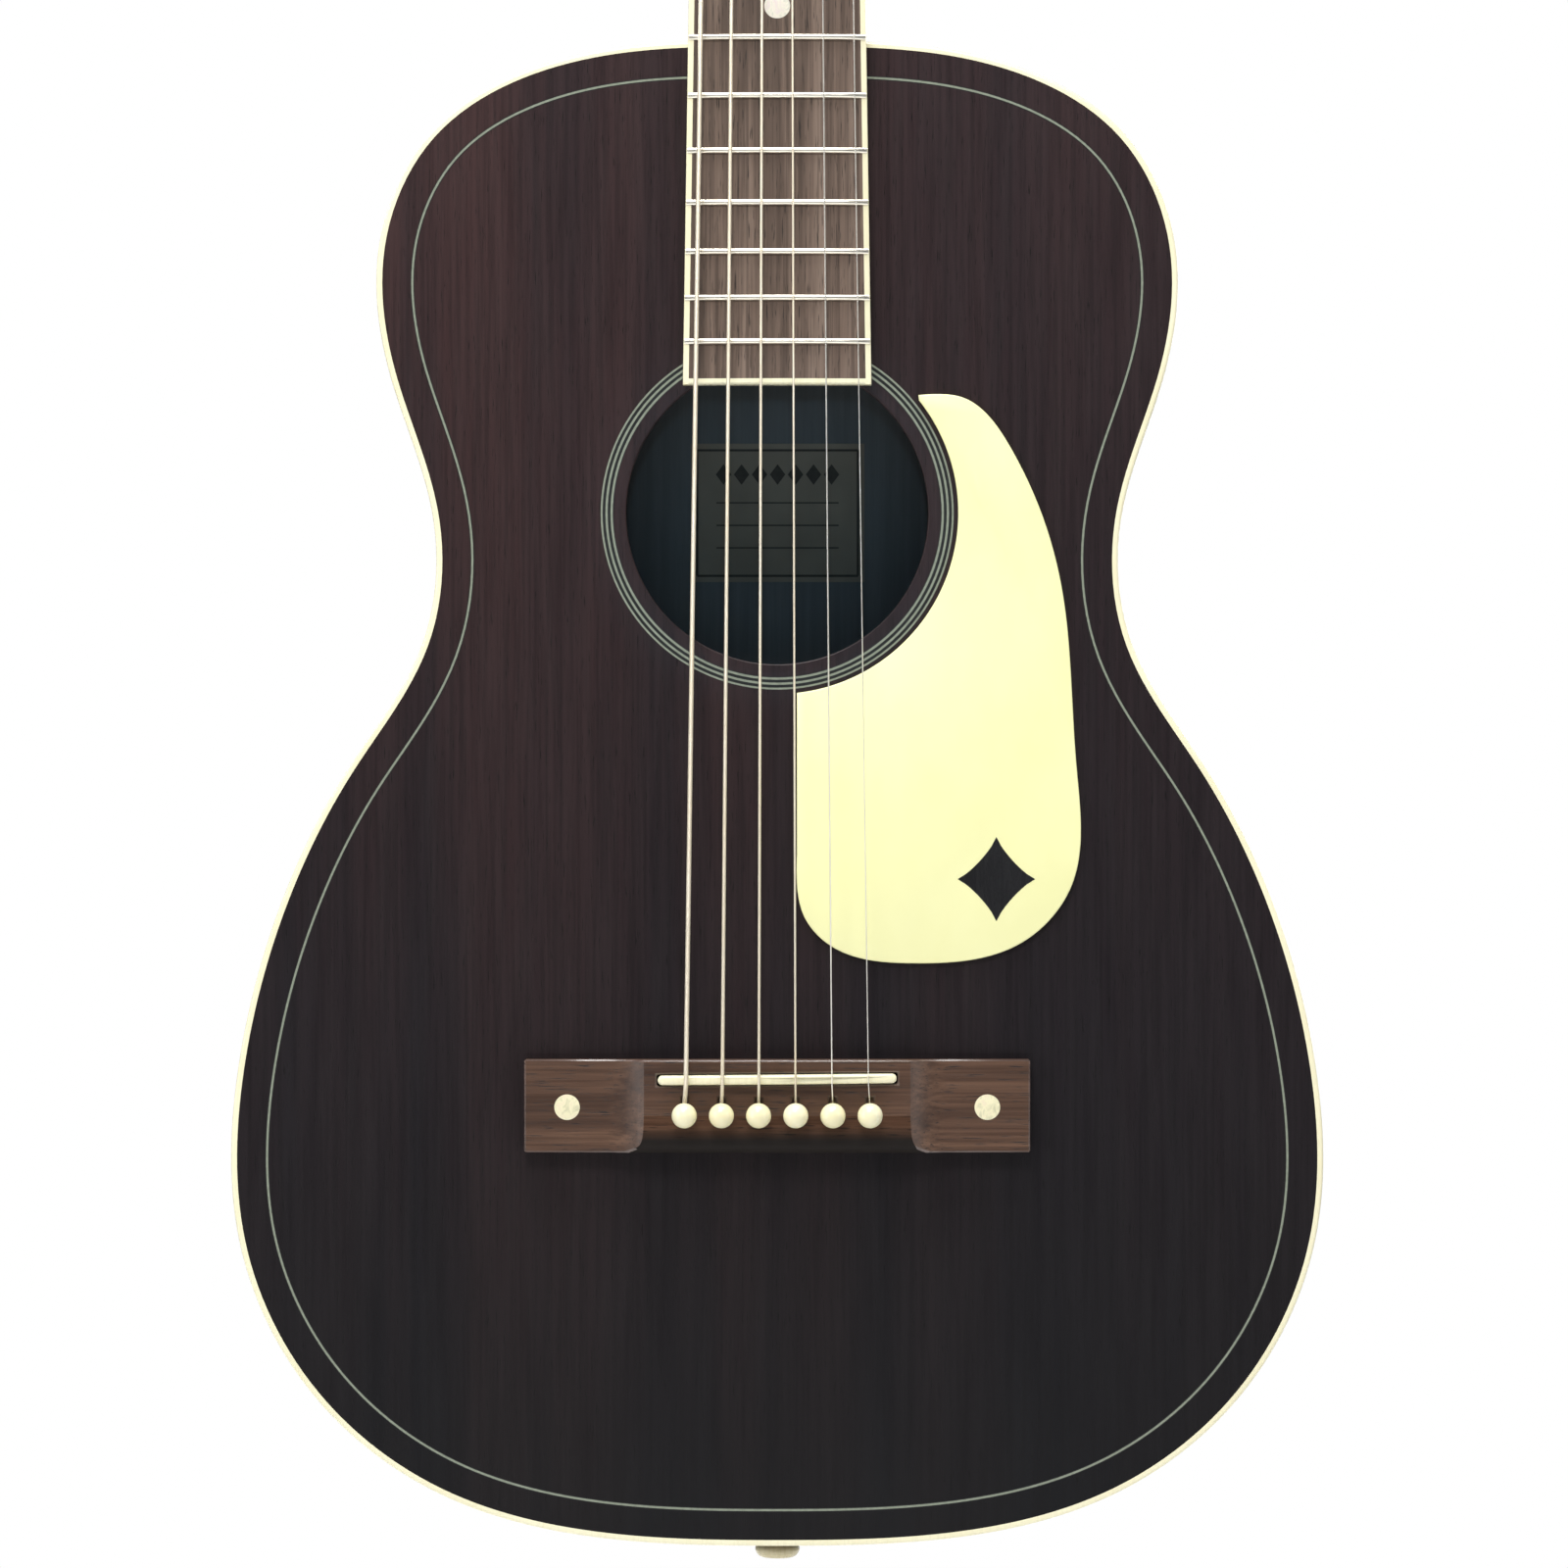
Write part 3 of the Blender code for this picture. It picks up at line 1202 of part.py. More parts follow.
def string_route(string):
    """From the ball under the bridge plate, up the pin's flute, over saddle and nut, and round the post."""
    diameter = STRING_DIAMETERS[string - 1]
    radius = diameter / 2
    pin_x = string_x(string, PIN_SPREAD)
    saddle_x = string_x(string, STRING_SPREAD_AT_SADDLE)
    nut_x = string_x(string, STRING_SPREAD_AT_NUT)
    ball_y = PIN_Y + 4.9 * MM
    ball_z = TOP_Z - TOP_THICKNESS - 2 * GAP - 2.4 * MM - 5 * MM
    saddle_y = SADDLE_Y + saddle_x * math.sin(SADDLE_SLANT)
    saddle_z = SADDLE_STRING_Z - crown(saddle_x) + radius
    nut_z = TOP_Z + BOARD_THICKNESS + FRET_HEIGHT + NUT_ACTION - crown(nut_x) + radius
    ball = [(pin_x, ball_y, ball_z - 1.8 * MM), (pin_x, ball_y, ball_z + 1.8 * MM)]
    bridge_top = TOP_Z + BRIDGE_HEIGHT
    route = [
        (pin_x, ball_y, ball_z + 2.0 * MM),
        (pin_x, STRING_IN_HOLE_Y, ball_z + 4.4 * MM),
        (pin_x, STRING_IN_HOLE_Y, bridge_top - 1.2 * MM),
        (pin_x, STRING_IN_HOLE_Y + 0.9 * MM, bridge_top - 0.2 * MM),
        (saddle_x, saddle_y - SADDLE_THICKNESS / 2 - SEAM, saddle_z),
        (nut_x, NUT_Y + GAP, nut_z),
        (nut_x, HEAD_Y - 0.4 * MM, nut_z - 0.15 * MM),
    ]
    return ball, route + wound_on_post(string, (nut_x, HEAD_Y), radius)


def wound_on_post(string, nut_at, radius):
    """Two turns up the post's waist, from the point where the string meets it."""
    x, u = post_place(string)
    coil_radius = POST_WAIST_RADIUS + 0.25 * MM + radius
    start_x, start_u = nut_at[0], 0
    away = math.hypot(x - start_x, u - start_u)
    heading = math.atan2(u - start_u, x - start_x)
    lean = math.asin(coil_radius / away)
    turning = -1 if x > 0 else 1  # bass posts wind anticlockwise, seen from the front
    angle = heading - turning * (math.pi / 2 + lean)
    points_per_turn = 8
    count = 2 * points_per_turn
    rise = (2 * radius + 0.08 * MM) / points_per_turn
    low = POST_HOLE_N - 0.9 * MM - radius - count * rise
    coil = []
    for i in range(count + 1):
        here = angle + turning * 2 * math.pi * i / points_per_turn
        at = (x + coil_radius * math.cos(here), u + coil_radius * math.sin(here))
        coil.append(from_head(*at, low + i * rise))
    return coil


def strings():
    for string in STRINGS:
        radius = STRING_DIAMETERS[string - 1] / 2
        ball, route = string_route(string)
        curve = bpy.data.curves.new(f"string_{string}", "CURVE")
        curve.dimensions = "3D"
        curve.bevel_depth = radius
        curve.bevel_resolution = 1
        curve.use_fill_caps = True
        spline = curve.splines.new("POLY")
        spline.points.add(len(ball) + len(route) - 1)
        for i, (point, place_at) in enumerate(zip(spline.points, ball + route)):
            point.co = (*place_at, 1)
            point.radius = 1.8 * MM / radius if i < len(ball) else 1
        place(f"string_{string}", curve, "plain_wire" if string <= 2 else "bronze_wire", BENCH)


# ---------------------------------------------------------------- the whole guitar

PIN_DRILL = pin_drill()
BUTTON_DRILL = button_drill()
soundboard()
top_inlays()
bindings()
back_plate()
ribs()
linings()
end_blocks()
soundboard_bracing()
back_bracing()
label()
pickguard()
strap_button()
bridge()
saddle()
bridge_pins()
neck()
heel_cap()
truss_rod()
truss_rod_cover()
fingerboard()
fingerboard_binding()
nut()
string_posts()
tuner_knobs()
tuner_plates()
strings()
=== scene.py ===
"""The looks of the small-bodied acoustic guitar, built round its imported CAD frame.

Pieces are made in bench coordinates, as if the guitar lay on its back: x to the treble side, y from the
tail up the neck, z out of the soundboard. BENCH, BACK and HEAD turn them upright into the row frame.
"""

import json
from math import acos, asin, atan2, copysign, cos, pi, radians, sin, sqrt, tan

import bmesh
import bpy
import numpy as np
from mathutils import Matrix, Vector

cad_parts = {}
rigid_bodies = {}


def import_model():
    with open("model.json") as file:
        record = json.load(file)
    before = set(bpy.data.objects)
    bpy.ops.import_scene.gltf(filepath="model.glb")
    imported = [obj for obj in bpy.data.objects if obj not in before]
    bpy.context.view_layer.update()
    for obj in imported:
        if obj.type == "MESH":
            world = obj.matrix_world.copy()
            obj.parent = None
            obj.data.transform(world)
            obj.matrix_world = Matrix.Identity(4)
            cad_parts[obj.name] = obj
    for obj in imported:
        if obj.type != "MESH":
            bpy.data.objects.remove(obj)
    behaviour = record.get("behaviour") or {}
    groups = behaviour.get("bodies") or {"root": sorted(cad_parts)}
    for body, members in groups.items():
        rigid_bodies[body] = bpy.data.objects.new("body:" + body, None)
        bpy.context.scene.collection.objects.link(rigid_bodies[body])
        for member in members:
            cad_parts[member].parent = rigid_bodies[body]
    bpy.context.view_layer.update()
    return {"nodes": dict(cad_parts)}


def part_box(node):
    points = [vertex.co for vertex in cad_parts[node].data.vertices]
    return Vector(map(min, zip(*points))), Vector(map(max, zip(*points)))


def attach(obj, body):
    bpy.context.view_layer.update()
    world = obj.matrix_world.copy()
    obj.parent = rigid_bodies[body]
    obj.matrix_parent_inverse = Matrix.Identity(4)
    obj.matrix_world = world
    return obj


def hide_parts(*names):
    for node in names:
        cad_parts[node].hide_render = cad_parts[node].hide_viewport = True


MM = 0.001
STRINGS = range(1, 7)
SIDES = (("treble", 1), ("bass", -1))
FINE = 360  # points round the body's outline

for leftover in list(bpy.data.objects):
    bpy.data.objects.remove(leftover, do_unlink=True)
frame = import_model()


# ---- places read from the frame


def middle(node):
    low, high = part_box(node)
    return (low + high) / 2


TOP_Z = -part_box("soundboard")[0].y
TAIL_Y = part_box("top_binding")[0].z
JOINT_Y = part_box("top_binding")[1].z
NUT_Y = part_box("fingerboard")[1].z
HEAD_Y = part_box("nut")[1].z
HOLE_Y = middle("rosette").z
ROSETTE_OUTER = (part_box("rosette")[1].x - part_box("rosette")[0].x) / 2
BOARD_END_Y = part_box("fingerboard_binding")[0].z
BRIDGE_LOW_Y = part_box("bridge")[0].z
BRIDGE_TOP_Z = TOP_Z + 8.5 * MM

TAIL_BACK_Z = -48 * MM
BACK_SLOPE = asin(11 * MM / (JOINT_Y - TAIL_Y))
HOLE_RADIUS = 44.5 * MM
ROSETTE_INNER = 48.2 * MM
TOP_THICKNESS = 2.8 * MM
BACK_THICKNESS = 2.6 * MM
SIDE_THICKNESS = 2.2 * MM
BINDING_WIDTH = 1.8 * MM
BINDING_DEPTH = 5.5 * MM
PURFLING_INSET = 10.1 * MM
PURFLING_WIDTH = 1.1 * MM
TENON_HALF_WIDTH = 10 * MM
BOARD_THICKNESS = 6 * MM
BOARD_RADIUS = 305 * MM
BOARD_BINDING = 1.7 * MM
BOARD_WIDTH_AT_NUT = 43.2 * MM
BOARD_WIDTH_AT_END = 55.4 * MM
SCALE_LENGTH = 609.6 * MM
HEAD_TILT = radians(14)
HEAD_THICKNESS = 15 * MM
POST_X = 21 * MM
POST_PITCH = 39 * MM
FIRST_POST_U = 44 * MM
GEAR_TEETH = 14
GEAR_MODULE = 0.9 * MM
WORM_PITCH_RADIUS = 2.6 * MM
WORM_PITCH = pi * GEAR_MODULE
WORM_N = -HEAD_THICKNESS - 5.4 * MM
WORM_DISTANCE = GEAR_TEETH * GEAR_MODULE / 2 + WORM_PITCH_RADIUS
STRING_DIAMETERS = [size * MM for size in (0.32, 0.42, 0.62, 0.82, 1.08, 1.35)]
PIN_SPREAD = 54.3 * MM
PIN_Y = 137.6 * MM


def moved(x, y, z):
    return Matrix.Translation((x, y, z))


def spun(angle, axis):
    return Matrix.Rotation(angle, 4, axis)


BENCH = spun(pi / 2, "X")
BACK = BENCH @ moved(0, TAIL_Y, TAIL_BACK_Z) @ spun(BACK_SLOPE, "X")
HEAD = BENCH @ moved(0, HEAD_Y, TOP_Z) @ spun(-HEAD_TILT, "X")
HEAD_FRONT = (HEAD.to_3x3() @ Vector((0, 0, 1))).normalized()


# ---- node material kit


class Nodes:
    """Short words for building the node tree of one material, or of the world."""

    def __init__(self, name, kind=bpy.data.materials):
        self.owner = kind.new(name)
        self.owner.use_nodes = True
        self.tree = self.owner.node_tree

    def feed(self, socket, value):
        """Links a socket to another node's output, or sets it to a plain number, vector or colour."""
        if isinstance(value, bpy.types.NodeSocket):
            self.tree.links.new(value, socket)
        else:
            socket.default_value = (*value, 1) if socket.type == "RGBA" else value

    def node(self, kind, output, inputs, **settings):
        """A new node, given as one of its outputs."""
        made = self.tree.nodes.new("ShaderNode" + kind)
        for key, value in settings.items():
            setattr(made, key, value)
        for name, value in inputs.items():
            self.feed(made.inputs[name], value)
        return made.outputs[output]

    def where(self):
        """Object coordinates, which are those of the row frame at rest."""
        return self.node("TexCoord", "Object", {})

    def place(self, scale, turn=(0, 0, 0), shift=(0, 0, 0)):
        """Stretched coordinates. The scale is in features per metre, and the shift in features."""
        inputs = {"Vector": self.where(), "Scale": scale, "Rotation": turn, "Location": shift}
        return self.node("Mapping", "Vector", inputs)

    def noise(self, scale, detail=4, roughness=0.55, distortion=0.0, turn=(0, 0, 0), shift=(0, 0, 0)):
        inputs = {"Vector": self.place(scale, turn, shift), "Scale": 1, "Detail": detail}
        return self.node("TexNoise", "Fac", {**inputs, "Roughness": roughness, "Distortion": distortion})

    def rise(self, low, high, axis="Z", start=0.0, end=1.0):
        """A value that goes from start to end between two places along an axis of the row frame."""
        place = self.node("SeparateXYZ", axis, {"Vector": self.where()})
        inputs = {"Value": place, "From Min": low, "From Max": high, "To Min": start, "To Max": end}
        return self.node("MapRange", "Result", inputs)

    def bands(self, scale):
        """Even bands along Z."""
        inputs = {"Vector": self.place(scale), "Scale": 1}
        return self.node("TexWave", "Fac", inputs, wave_type="BANDS", bands_direction="Z")

    def ramp(self, value, stops):
        """Colours (or greys) at positions, read by a value."""
        colour = self.node("ValToRGB", "Color", {"Fac": value})
        elements = colour.node.color_ramp.elements
        while len(elements) < len(stops):
            elements.new(0.5)
        for element, (position, tone) in zip(elements, stops):
            element.position = position
            element.color = (*tone, 1) if isinstance(tone, tuple) else (tone, tone, tone, 1)
        return colour

    def fade(self, value, low, high, start=0.0, end=1.0):
        """A grey or a colour that goes from start to end as a value goes from low to high."""
        return self.ramp(value, [(low, start), (high, end)])

    def mix(self, share, first, second):
        """Mixes colours. The share and both colours may be sockets or plain values."""
        return self.node("Mix", 2, {0: share, 6: first, 7: second}, data_type="RGBA")

    def times(self, first, second):
        return self.node("Math", 0, {0: first, 1: second}, operation="MULTIPLY")

    def bump(self, height, strength, distance, under=None):
        inputs = {"Height": height, "Strength": strength, "Distance": distance}
        return self.node("Bump", "Normal", {**inputs, "Normal": under} if under else inputs)

    def finish(self, colour, roughness, normal=None, **fixed):
        """Feeds the shader and gives the material."""
        sockets = self.tree.nodes["Principled BSDF"].inputs
        self.feed(sockets["Base Color"], colour)
        self.feed(sockets["Roughness"], roughness)
        if normal:
            self.feed(sockets["Normal"], normal)
        for name, value in fixed.items():
            self.feed(sockets[name.replace("_", " ")], value)
        return self.owner


def along(axis, fine, coarse):
    """A stretch that is fine across the grain and coarse along it."""
    return tuple(coarse if letter == axis else fine for letter in "XYZ")


def stained_mahogany():
    """Ribbon-striped mahogany with open pores under a dark satin stain, with painted light: lighter and
    redder up towards the neck and towards the bass side, darker at the tail.
    """
    kit = Nodes("stained_mahogany")
    # Painted light: the tones below run from darker at the tail to lighter and redder at the neck joint,
    # standing in for the light from above.
    height = kit.rise(TAIL_Y, JOINT_Y)
    dark_ribbons_with_painted_light = [(0.0, (0.0048, 0.0052, 0.0066)), (0.35, (0.0115, 0.0095, 0.012)), (1.0, (0.0235, 0.016, 0.0185))]
    light_ribbons_with_painted_light = [(0.0, (0.0082, 0.007, 0.008)), (0.35, (0.0215, 0.0135, 0.015)), (1.0, (0.05, 0.0255, 0.0255))]
    ribbons = kit.noise(along("Z", 38, 1.3), detail=3, roughness=0.45, distortion=0.3, shift=(11.9, 0, 8.3))
    # Painted sheen: the lighter ribbons get more share towards the bass side, where the light from the upper
    # left falls.
    share = kit.times(kit.fade(ribbons, 0.37, 0.63), kit.rise(0.13, -0.13, "X", 0.3, 1.3))
    base = kit.mix(share, kit.ramp(height, dark_ribbons_with_painted_light), kit.ramp(height, light_ribbons_with_painted_light))
    streaks = kit.noise(along("Z", 620, 16), detail=4, roughness=0.65)
    pores = kit.noise(along("Z", 2300, 150), detail=3, roughness=0.6)
    streaked = kit.mix(kit.fade(streaks, 0.4, 0.58, 0.34, 0.0), base, (0.0045, 0.0038, 0.0045))
    coloured = kit.mix(kit.fade(pores, 0.31, 0.4, 0.8, 0.0), streaked, (0.003, 0.0025, 0.0028))
    roughness = kit.fade(kit.noise(along("Z", 260, 20), detail=3), 0.3, 0.7, 0.36, 0.48)
    relief = kit.bump(kit.fade(pores, 0.28, 0.44), 0.55, 0.07 * MM)
    relief = kit.bump(streaks, 0.3, 0.12 * MM, relief)
    return kit.finish(
        coloured, roughness, relief, Specular_IOR_Level=0.22, Coat_Weight=0.06, Coat_Roughness=0.22
    )


def neck_mahogany():
    """The neck's timber: straighter grained and a shade lighter than the body, under the same stain."""
    kit = Nodes("neck_mahogany")
    streaks = kit.noise(along("Z", 420, 9), detail=5, roughness=0.6)
    pores = kit.noise(along("Z", 2400, 110), detail=3)
    base = kit.ramp(streaks, [(0.35, (0.012, 0.0075, 0.0075)), (0.65, (0.04, 0.018, 0.015))])
    coloured = kit.mix(kit.fade(pores, 0.3, 0.4, 0.8, 0.0), base, (0.004, 0.003, 0.003))
    roughness = kit.fade(streaks, 0.3, 0.7, 0.38, 0.48)
    relief = kit.bump(kit.fade(pores, 0.28, 0.44), 0.3, 0.05 * MM)
    return kit.finish(coloured, roughness, relief, Specular_IOR_Level=0.36, Coat_Weight=0.1)


def open_wood(name, axis, tones, pore, roughness=(0.5, 0.68), specular=0.4, coat=0.0, painted_shade=None):
    """Oiled, unlacquered hardwood with dark figure lines and open pores. Painted shade, when given, is two
    heights: the wood is painted near black below the first, as shade, and bare above the second."""
    kit = Nodes(name)
    figure = kit.noise(along(axis, 150, 5), detail=5, roughness=0.62, distortion=0.6)
    lines = kit.noise(along(axis, 900, 12), detail=4, roughness=0.6)
    pores = kit.noise(along(axis, 2300, 130), detail=2)
    base = kit.ramp(figure, list(zip((0.3, 0.5, 0.7), tones)))
    lined = kit.mix(kit.fade(lines, 0.38, 0.56, 0.6, 0.0), base, tones[0])
    coloured = kit.mix(kit.fade(pores, 0.31, 0.39, 0.9, 0.0), lined, pore)
    # Painted shade, fading to near black towards the lower height.
    if painted_shade:
        coloured = kit.mix(kit.rise(*painted_shade, "Z", 0.97, 0.0), coloured, pore)
    rough = kit.fade(lines, 0.3, 0.7, *roughness)
    relief = kit.bump(kit.fade(pores, 0.28, 0.42), 0.5, 0.08 * MM)
    relief = kit.bump(lines, 0.15, 0.08 * MM, relief)
    return kit.finish(
        coloured, rough, relief, Specular_IOR_Level=specular, Coat_Weight=coat, Coat_Roughness=0.32
    )


def bare_wood(name, dark, light, axis="Z"):
    kit = Nodes(name)
    rings = kit.noise(along(axis, 300, 6), detail=4, roughness=0.6)
    fibres = kit.noise(along(axis, 1800, 60), detail=3)
    base = kit.fade(rings, 0.35, 0.65, dark, light)
    coloured = kit.mix(kit.fade(fibres, 0.3, 0.5, 0.35, 0.0), base, dark)
    relief = kit.bump(fibres, 0.3, 0.08 * MM)
    return kit.finish(coloured, kit.fade(rings, 0.3, 0.7, 0.7, 0.85), relief)


def celluloid(name, colour, shade, roughness, subsurface=0.05):
    """Polished plastic: faint clouding, hairline scuffs in the gloss and a little light in its depth."""
    kit = Nodes(name)
    clouds = kit.noise((45, 45, 28), detail=3)
    grain = kit.noise(along("Z", 420, 30), detail=2)
    base = kit.mix(kit.fade(clouds, 0.3, 0.7), colour, shade)
    coloured = kit.mix(kit.fade(grain, 0.35, 0.6, 0.1, 0.0), base, shade)
    scuffs = kit.noise((900, 900, 120), detail=3, turn=(0.3, 0.2, 0.7))
    rough = kit.fade(scuffs, 0.35, 0.75, roughness, roughness + 0.12)
    relief = kit.bump(kit.noise((120, 120, 120), detail=2), 0.05, 0.15 * MM)
    depth = {"Subsurface_Weight": subsurface, "Subsurface_Radius": (0.002, 0.0015, 0.0008)}
    return kit.finish(coloured, rough, relief, Coat_Weight=0.25, Coat_Roughness=0.12, **depth)


def pearl(name, green, cream, pink):
    """Mother-of-pearl: soft patches that shift between green, cream and pink."""
    kit = Nodes(name)
    patches = kit.noise((420, 420, 300), detail=3, distortion=1.2)
    base = kit.ramp(patches, [(0.3, green), (0.5, cream), (0.7, pink)])
    return kit.finish(base, kit.fade(patches, 0.3, 0.7, 0.18, 0.3), Coat_Weight=0.5)


def metal(name, bright, dull, roughness, scratch=(500, 500, 500), bump=0.06):
    """Plated or drawn metal: fine scratches, and a film that dulls it in patches."""
    kit = Nodes(name)
    film = kit.noise((90, 90, 90), detail=4)
    marks = kit.noise(scratch, detail=4, roughness=0.7)
    base = kit.mix(kit.fade(film, 0.35, 0.75), bright, dull)
    rough = kit.fade(marks, 0.3, 0.7, roughness, roughness + 0.16)
    relief = kit.bump(marks, bump, 0.05 * MM)
    return kit.finish(base, rough, relief, Metallic=1.0)


def wound_wire():
    """Bronze wrap wire round a core: close turns along the string, a little tarnished."""
    kit = Nodes("bronze_wire")
    turns = kit.bands((0, 0, 1350))
    film = kit.noise((160, 160, 40), detail=3)
    base = kit.mix(kit.fade(film, 0.3, 0.7), (1.0, 0.93, 0.78), (0.97, 0.86, 0.66))
    # Painted shade: the creases between neighbouring turns are painted dark.
    creased_with_painted_shade = kit.mix(kit.fade(turns, 0.0, 0.35, 0.5, 0.0), base, (0.42, 0.33, 0.21))
    relief = kit.bump(turns, 0.6, 0.12 * MM)
    return kit.finish(creased_with_painted_shade, 0.36, relief, Metallic=0.35)


def paper():
    kit = Nodes("label_paper")
    fibres = kit.noise((900, 900, 900), detail=3)
    stain = kit.noise((60, 60, 60), detail=2)
    base = kit.mix(kit.fade(stain, 0.3, 0.7), (0.3, 0.29, 0.24), (0.25, 0.24, 0.2))
    return kit.finish(base, 0.9, kit.bump(fibres, 0.2, 0.03 * MM))


def flat_print(name, colour, roughness):
    """Ink, lacquer or stain in a thin line, with a slightly uneven tone."""
    kit = Nodes(name)
    tone = kit.noise((700, 700, 700), detail=2)
    lighter = tuple(min(1.0, 1.25 * c + 0.004) for c in colour)
    return kit.finish(kit.fade(tone, 0.3, 0.7, colour, lighter), roughness)


# The dark, middle and light tones of the open-pored woods.
BOARD_TONES = ((0.048, 0.031, 0.023), (0.138, 0.094, 0.071), (0.25, 0.182, 0.143))
BRIDGE_TONES = ((0.034, 0.014, 0.007), (0.09, 0.044, 0.025), (0.152, 0.08, 0.047))
# Painted highlight: the bridge's chamfered edges are painted lighter than the bridge wood, besides their real
# burnished gloss.
EDGE_HIGHLIGHT_TONES = ((0.06, 0.036, 0.028), (0.12, 0.08, 0.068), (0.18, 0.125, 0.105))
HEAD_TONES = ((0.012, 0.008, 0.007), (0.03, 0.018, 0.015), (0.06, 0.036, 0.028))
# Painted shade: the bridge's roll is painted darker towards its foot between these heights, where it turns
# down away from the light.
ROLL_PAINTED_SHADE = (BRIDGE_LOW_Y + 3.6 * MM, BRIDGE_LOW_Y + 8.5 * MM)

MATERIALS = {
    "mahogany": stained_mahogany(),
    "neck": neck_mahogany(),
    "board": open_wood("fingerboard_wood", "Z", BOARD_TONES, (0.025, 0.017, 0.013)),
    "bridge": open_wood("bridge_wood", "X", BRIDGE_TONES, (0.014, 0.008, 0.007), (0.42, 0.56), coat=0.34),
    "bridge_edge": open_wood("burnished_edge_painted_highlight", "X", EDGE_HIGHLIGHT_TONES, (0.03, 0.02, 0.016), (0.2, 0.28), 0.5, 0.6),
    # The roll's faces: a copy of the bridge wood with painted shade towards its foot.
    "bridge_roll": open_wood(
        "shaded_roll", "X", BRIDGE_TONES, (0.01, 0.008, 0.007), (0.46, 0.6), 0.14, painted_shade=ROLL_PAINTED_SHADE
    ),
    "headplate": open_wood("headplate_wood", "Z", HEAD_TONES, (0.008, 0.005, 0.005), (0.3, 0.42)),
    "spruce": bare_wood("brace_spruce", (0.42, 0.27, 0.14), (0.58, 0.42, 0.24), "X"),
    # Painted light: the inside wood is painted a light blue-grey, standing in for the cool light seen through
    # the sound hole, not the brown of bare mahogany.
    "inner": bare_wood("inner_mahogany_painted_cool_light", (0.115, 0.14, 0.155), (0.155, 0.185, 0.2)),
    "block": bare_wood("block_mahogany", (0.2, 0.1, 0.06), (0.32, 0.18, 0.11)),
    "cream": celluloid("cream_plastic", (0.92, 0.88, 0.64), (0.86, 0.81, 0.56), 0.24),
    # Painted shade: a darker copy of the cream plastic, standing in for the shade the strap button lies in.
    "cream_painted_shade": celluloid("cream_plastic_painted_shade", (0.66, 0.6, 0.38), (0.56, 0.49, 0.29), 0.22),
    "ivory": celluloid("ivory_plastic", (0.94, 0.9, 0.66), (0.88, 0.81, 0.5), 0.18, 0.12),
    "pickguard": celluloid("pickguard_plastic", (0.955, 0.95, 0.525), (0.93, 0.92, 0.48), 0.3, 0.0),
    "black": celluloid("black_plastic", (0.01, 0.01, 0.011), (0.016, 0.016, 0.018), 0.22, 0.0),
    "pearl": pearl("pearl", (0.62, 0.62, 0.54), (0.84, 0.8, 0.68), (0.74, 0.65, 0.62)),
    "aged_pearl": pearl("aged_pearl", (0.62, 0.6, 0.4), (0.86, 0.81, 0.55), (0.78, 0.68, 0.5)),
    "line": flat_print("line_inlay", (0.2, 0.225, 0.175), 0.45),
    "line_black": flat_print("line_black", (0.006, 0.007, 0.0065), 0.4),
    "ink": flat_print("label_ink", (0.05, 0.05, 0.045), 0.8),
    "nickel": metal("nickel_plate", (0.82, 0.8, 0.76), (0.72, 0.69, 0.64), 0.17, (160, 160, 2600), 0.04),
    "brass": metal("gear_brass", (0.86, 0.66, 0.34), (0.7, 0.52, 0.26), 0.22),
    "steel": metal("rod_steel", (0.52, 0.52, 0.53), (0.38, 0.37, 0.36), 0.34),
    "fret": metal("fret_wire", (1.0, 0.955, 0.84), (0.93, 0.88, 0.75), 0.26, (40, 1500, 1500)),
    "plain_wire": metal("plain_wire", (0.96, 0.93, 0.86), (0.86, 0.83, 0.76), 0.28, (2000, 2000, 60)),
    "bronze_wire": wound_wire(),
    "paper": paper(),
}


# ---- mesh kit


def in_mm(*points):
    """Points given in millimetres, in metres."""
    return [tuple(value * MM for value in point) for point in points]


def spaced(start, end, steps):
    return [start + (end - start) * i / steps for i in range(steps + 1)]


def polar(radius, angle):
    return (radius * cos(angle), radius * sin(angle))


def added(name, data):
    """A new object in the scene."""
    obj = bpy.data.objects.new(name, data)
    bpy.context.scene.collection.objects.link(obj)
    return obj


def mesh_of(bm):
    bmesh.ops.recalc_face_normals(bm, faces=bm.faces)
    mesh = bpy.data.meshes.new("closed")
    bm.to_mesh(mesh)
    bm.free()
    return mesh


def skin(loops, ring=False):
    """Quads between closed loops of equal length. With ring the last joins the first, else both have caps."""
    bm = bmesh.new()
    rows = [[bm.verts.new(point) for point in loop] for loop in loops]
    pairs = list(zip(rows, rows[1:])) + ([(rows[-1], rows[0])] if ring else [])
    for lower, upper in pairs:
        for i in range(len(lower)):
            j = (i + 1) % len(lower)
            bm.faces.new((lower[i], lower[j], upper[j], upper[i]))
    if not ring:
        bm.faces.new(rows[0][::-1])
        bm.faces.new(rows[-1])
    return mesh_of(bm)


def curve_mesh(loops, closed, **settings):
    """The mesh of a curve with straight spans through the points of each loop."""
    curve = bpy.data.curves.new("outline", "CURVE")
    for key, value in settings.items():
        setattr(curve, key, value)
    for loop in loops:
        spline = curve.splines.new("POLY")
        spline.points.add(len(loop) - 1)
        for point, place in zip(spline.points, loop):
            point.co = (*place, 1)
        spline.use_cyclic_u = closed
    mesh = evaluated(added("outline", curve))
    bpy.data.curves.remove(curve)
    return mesh


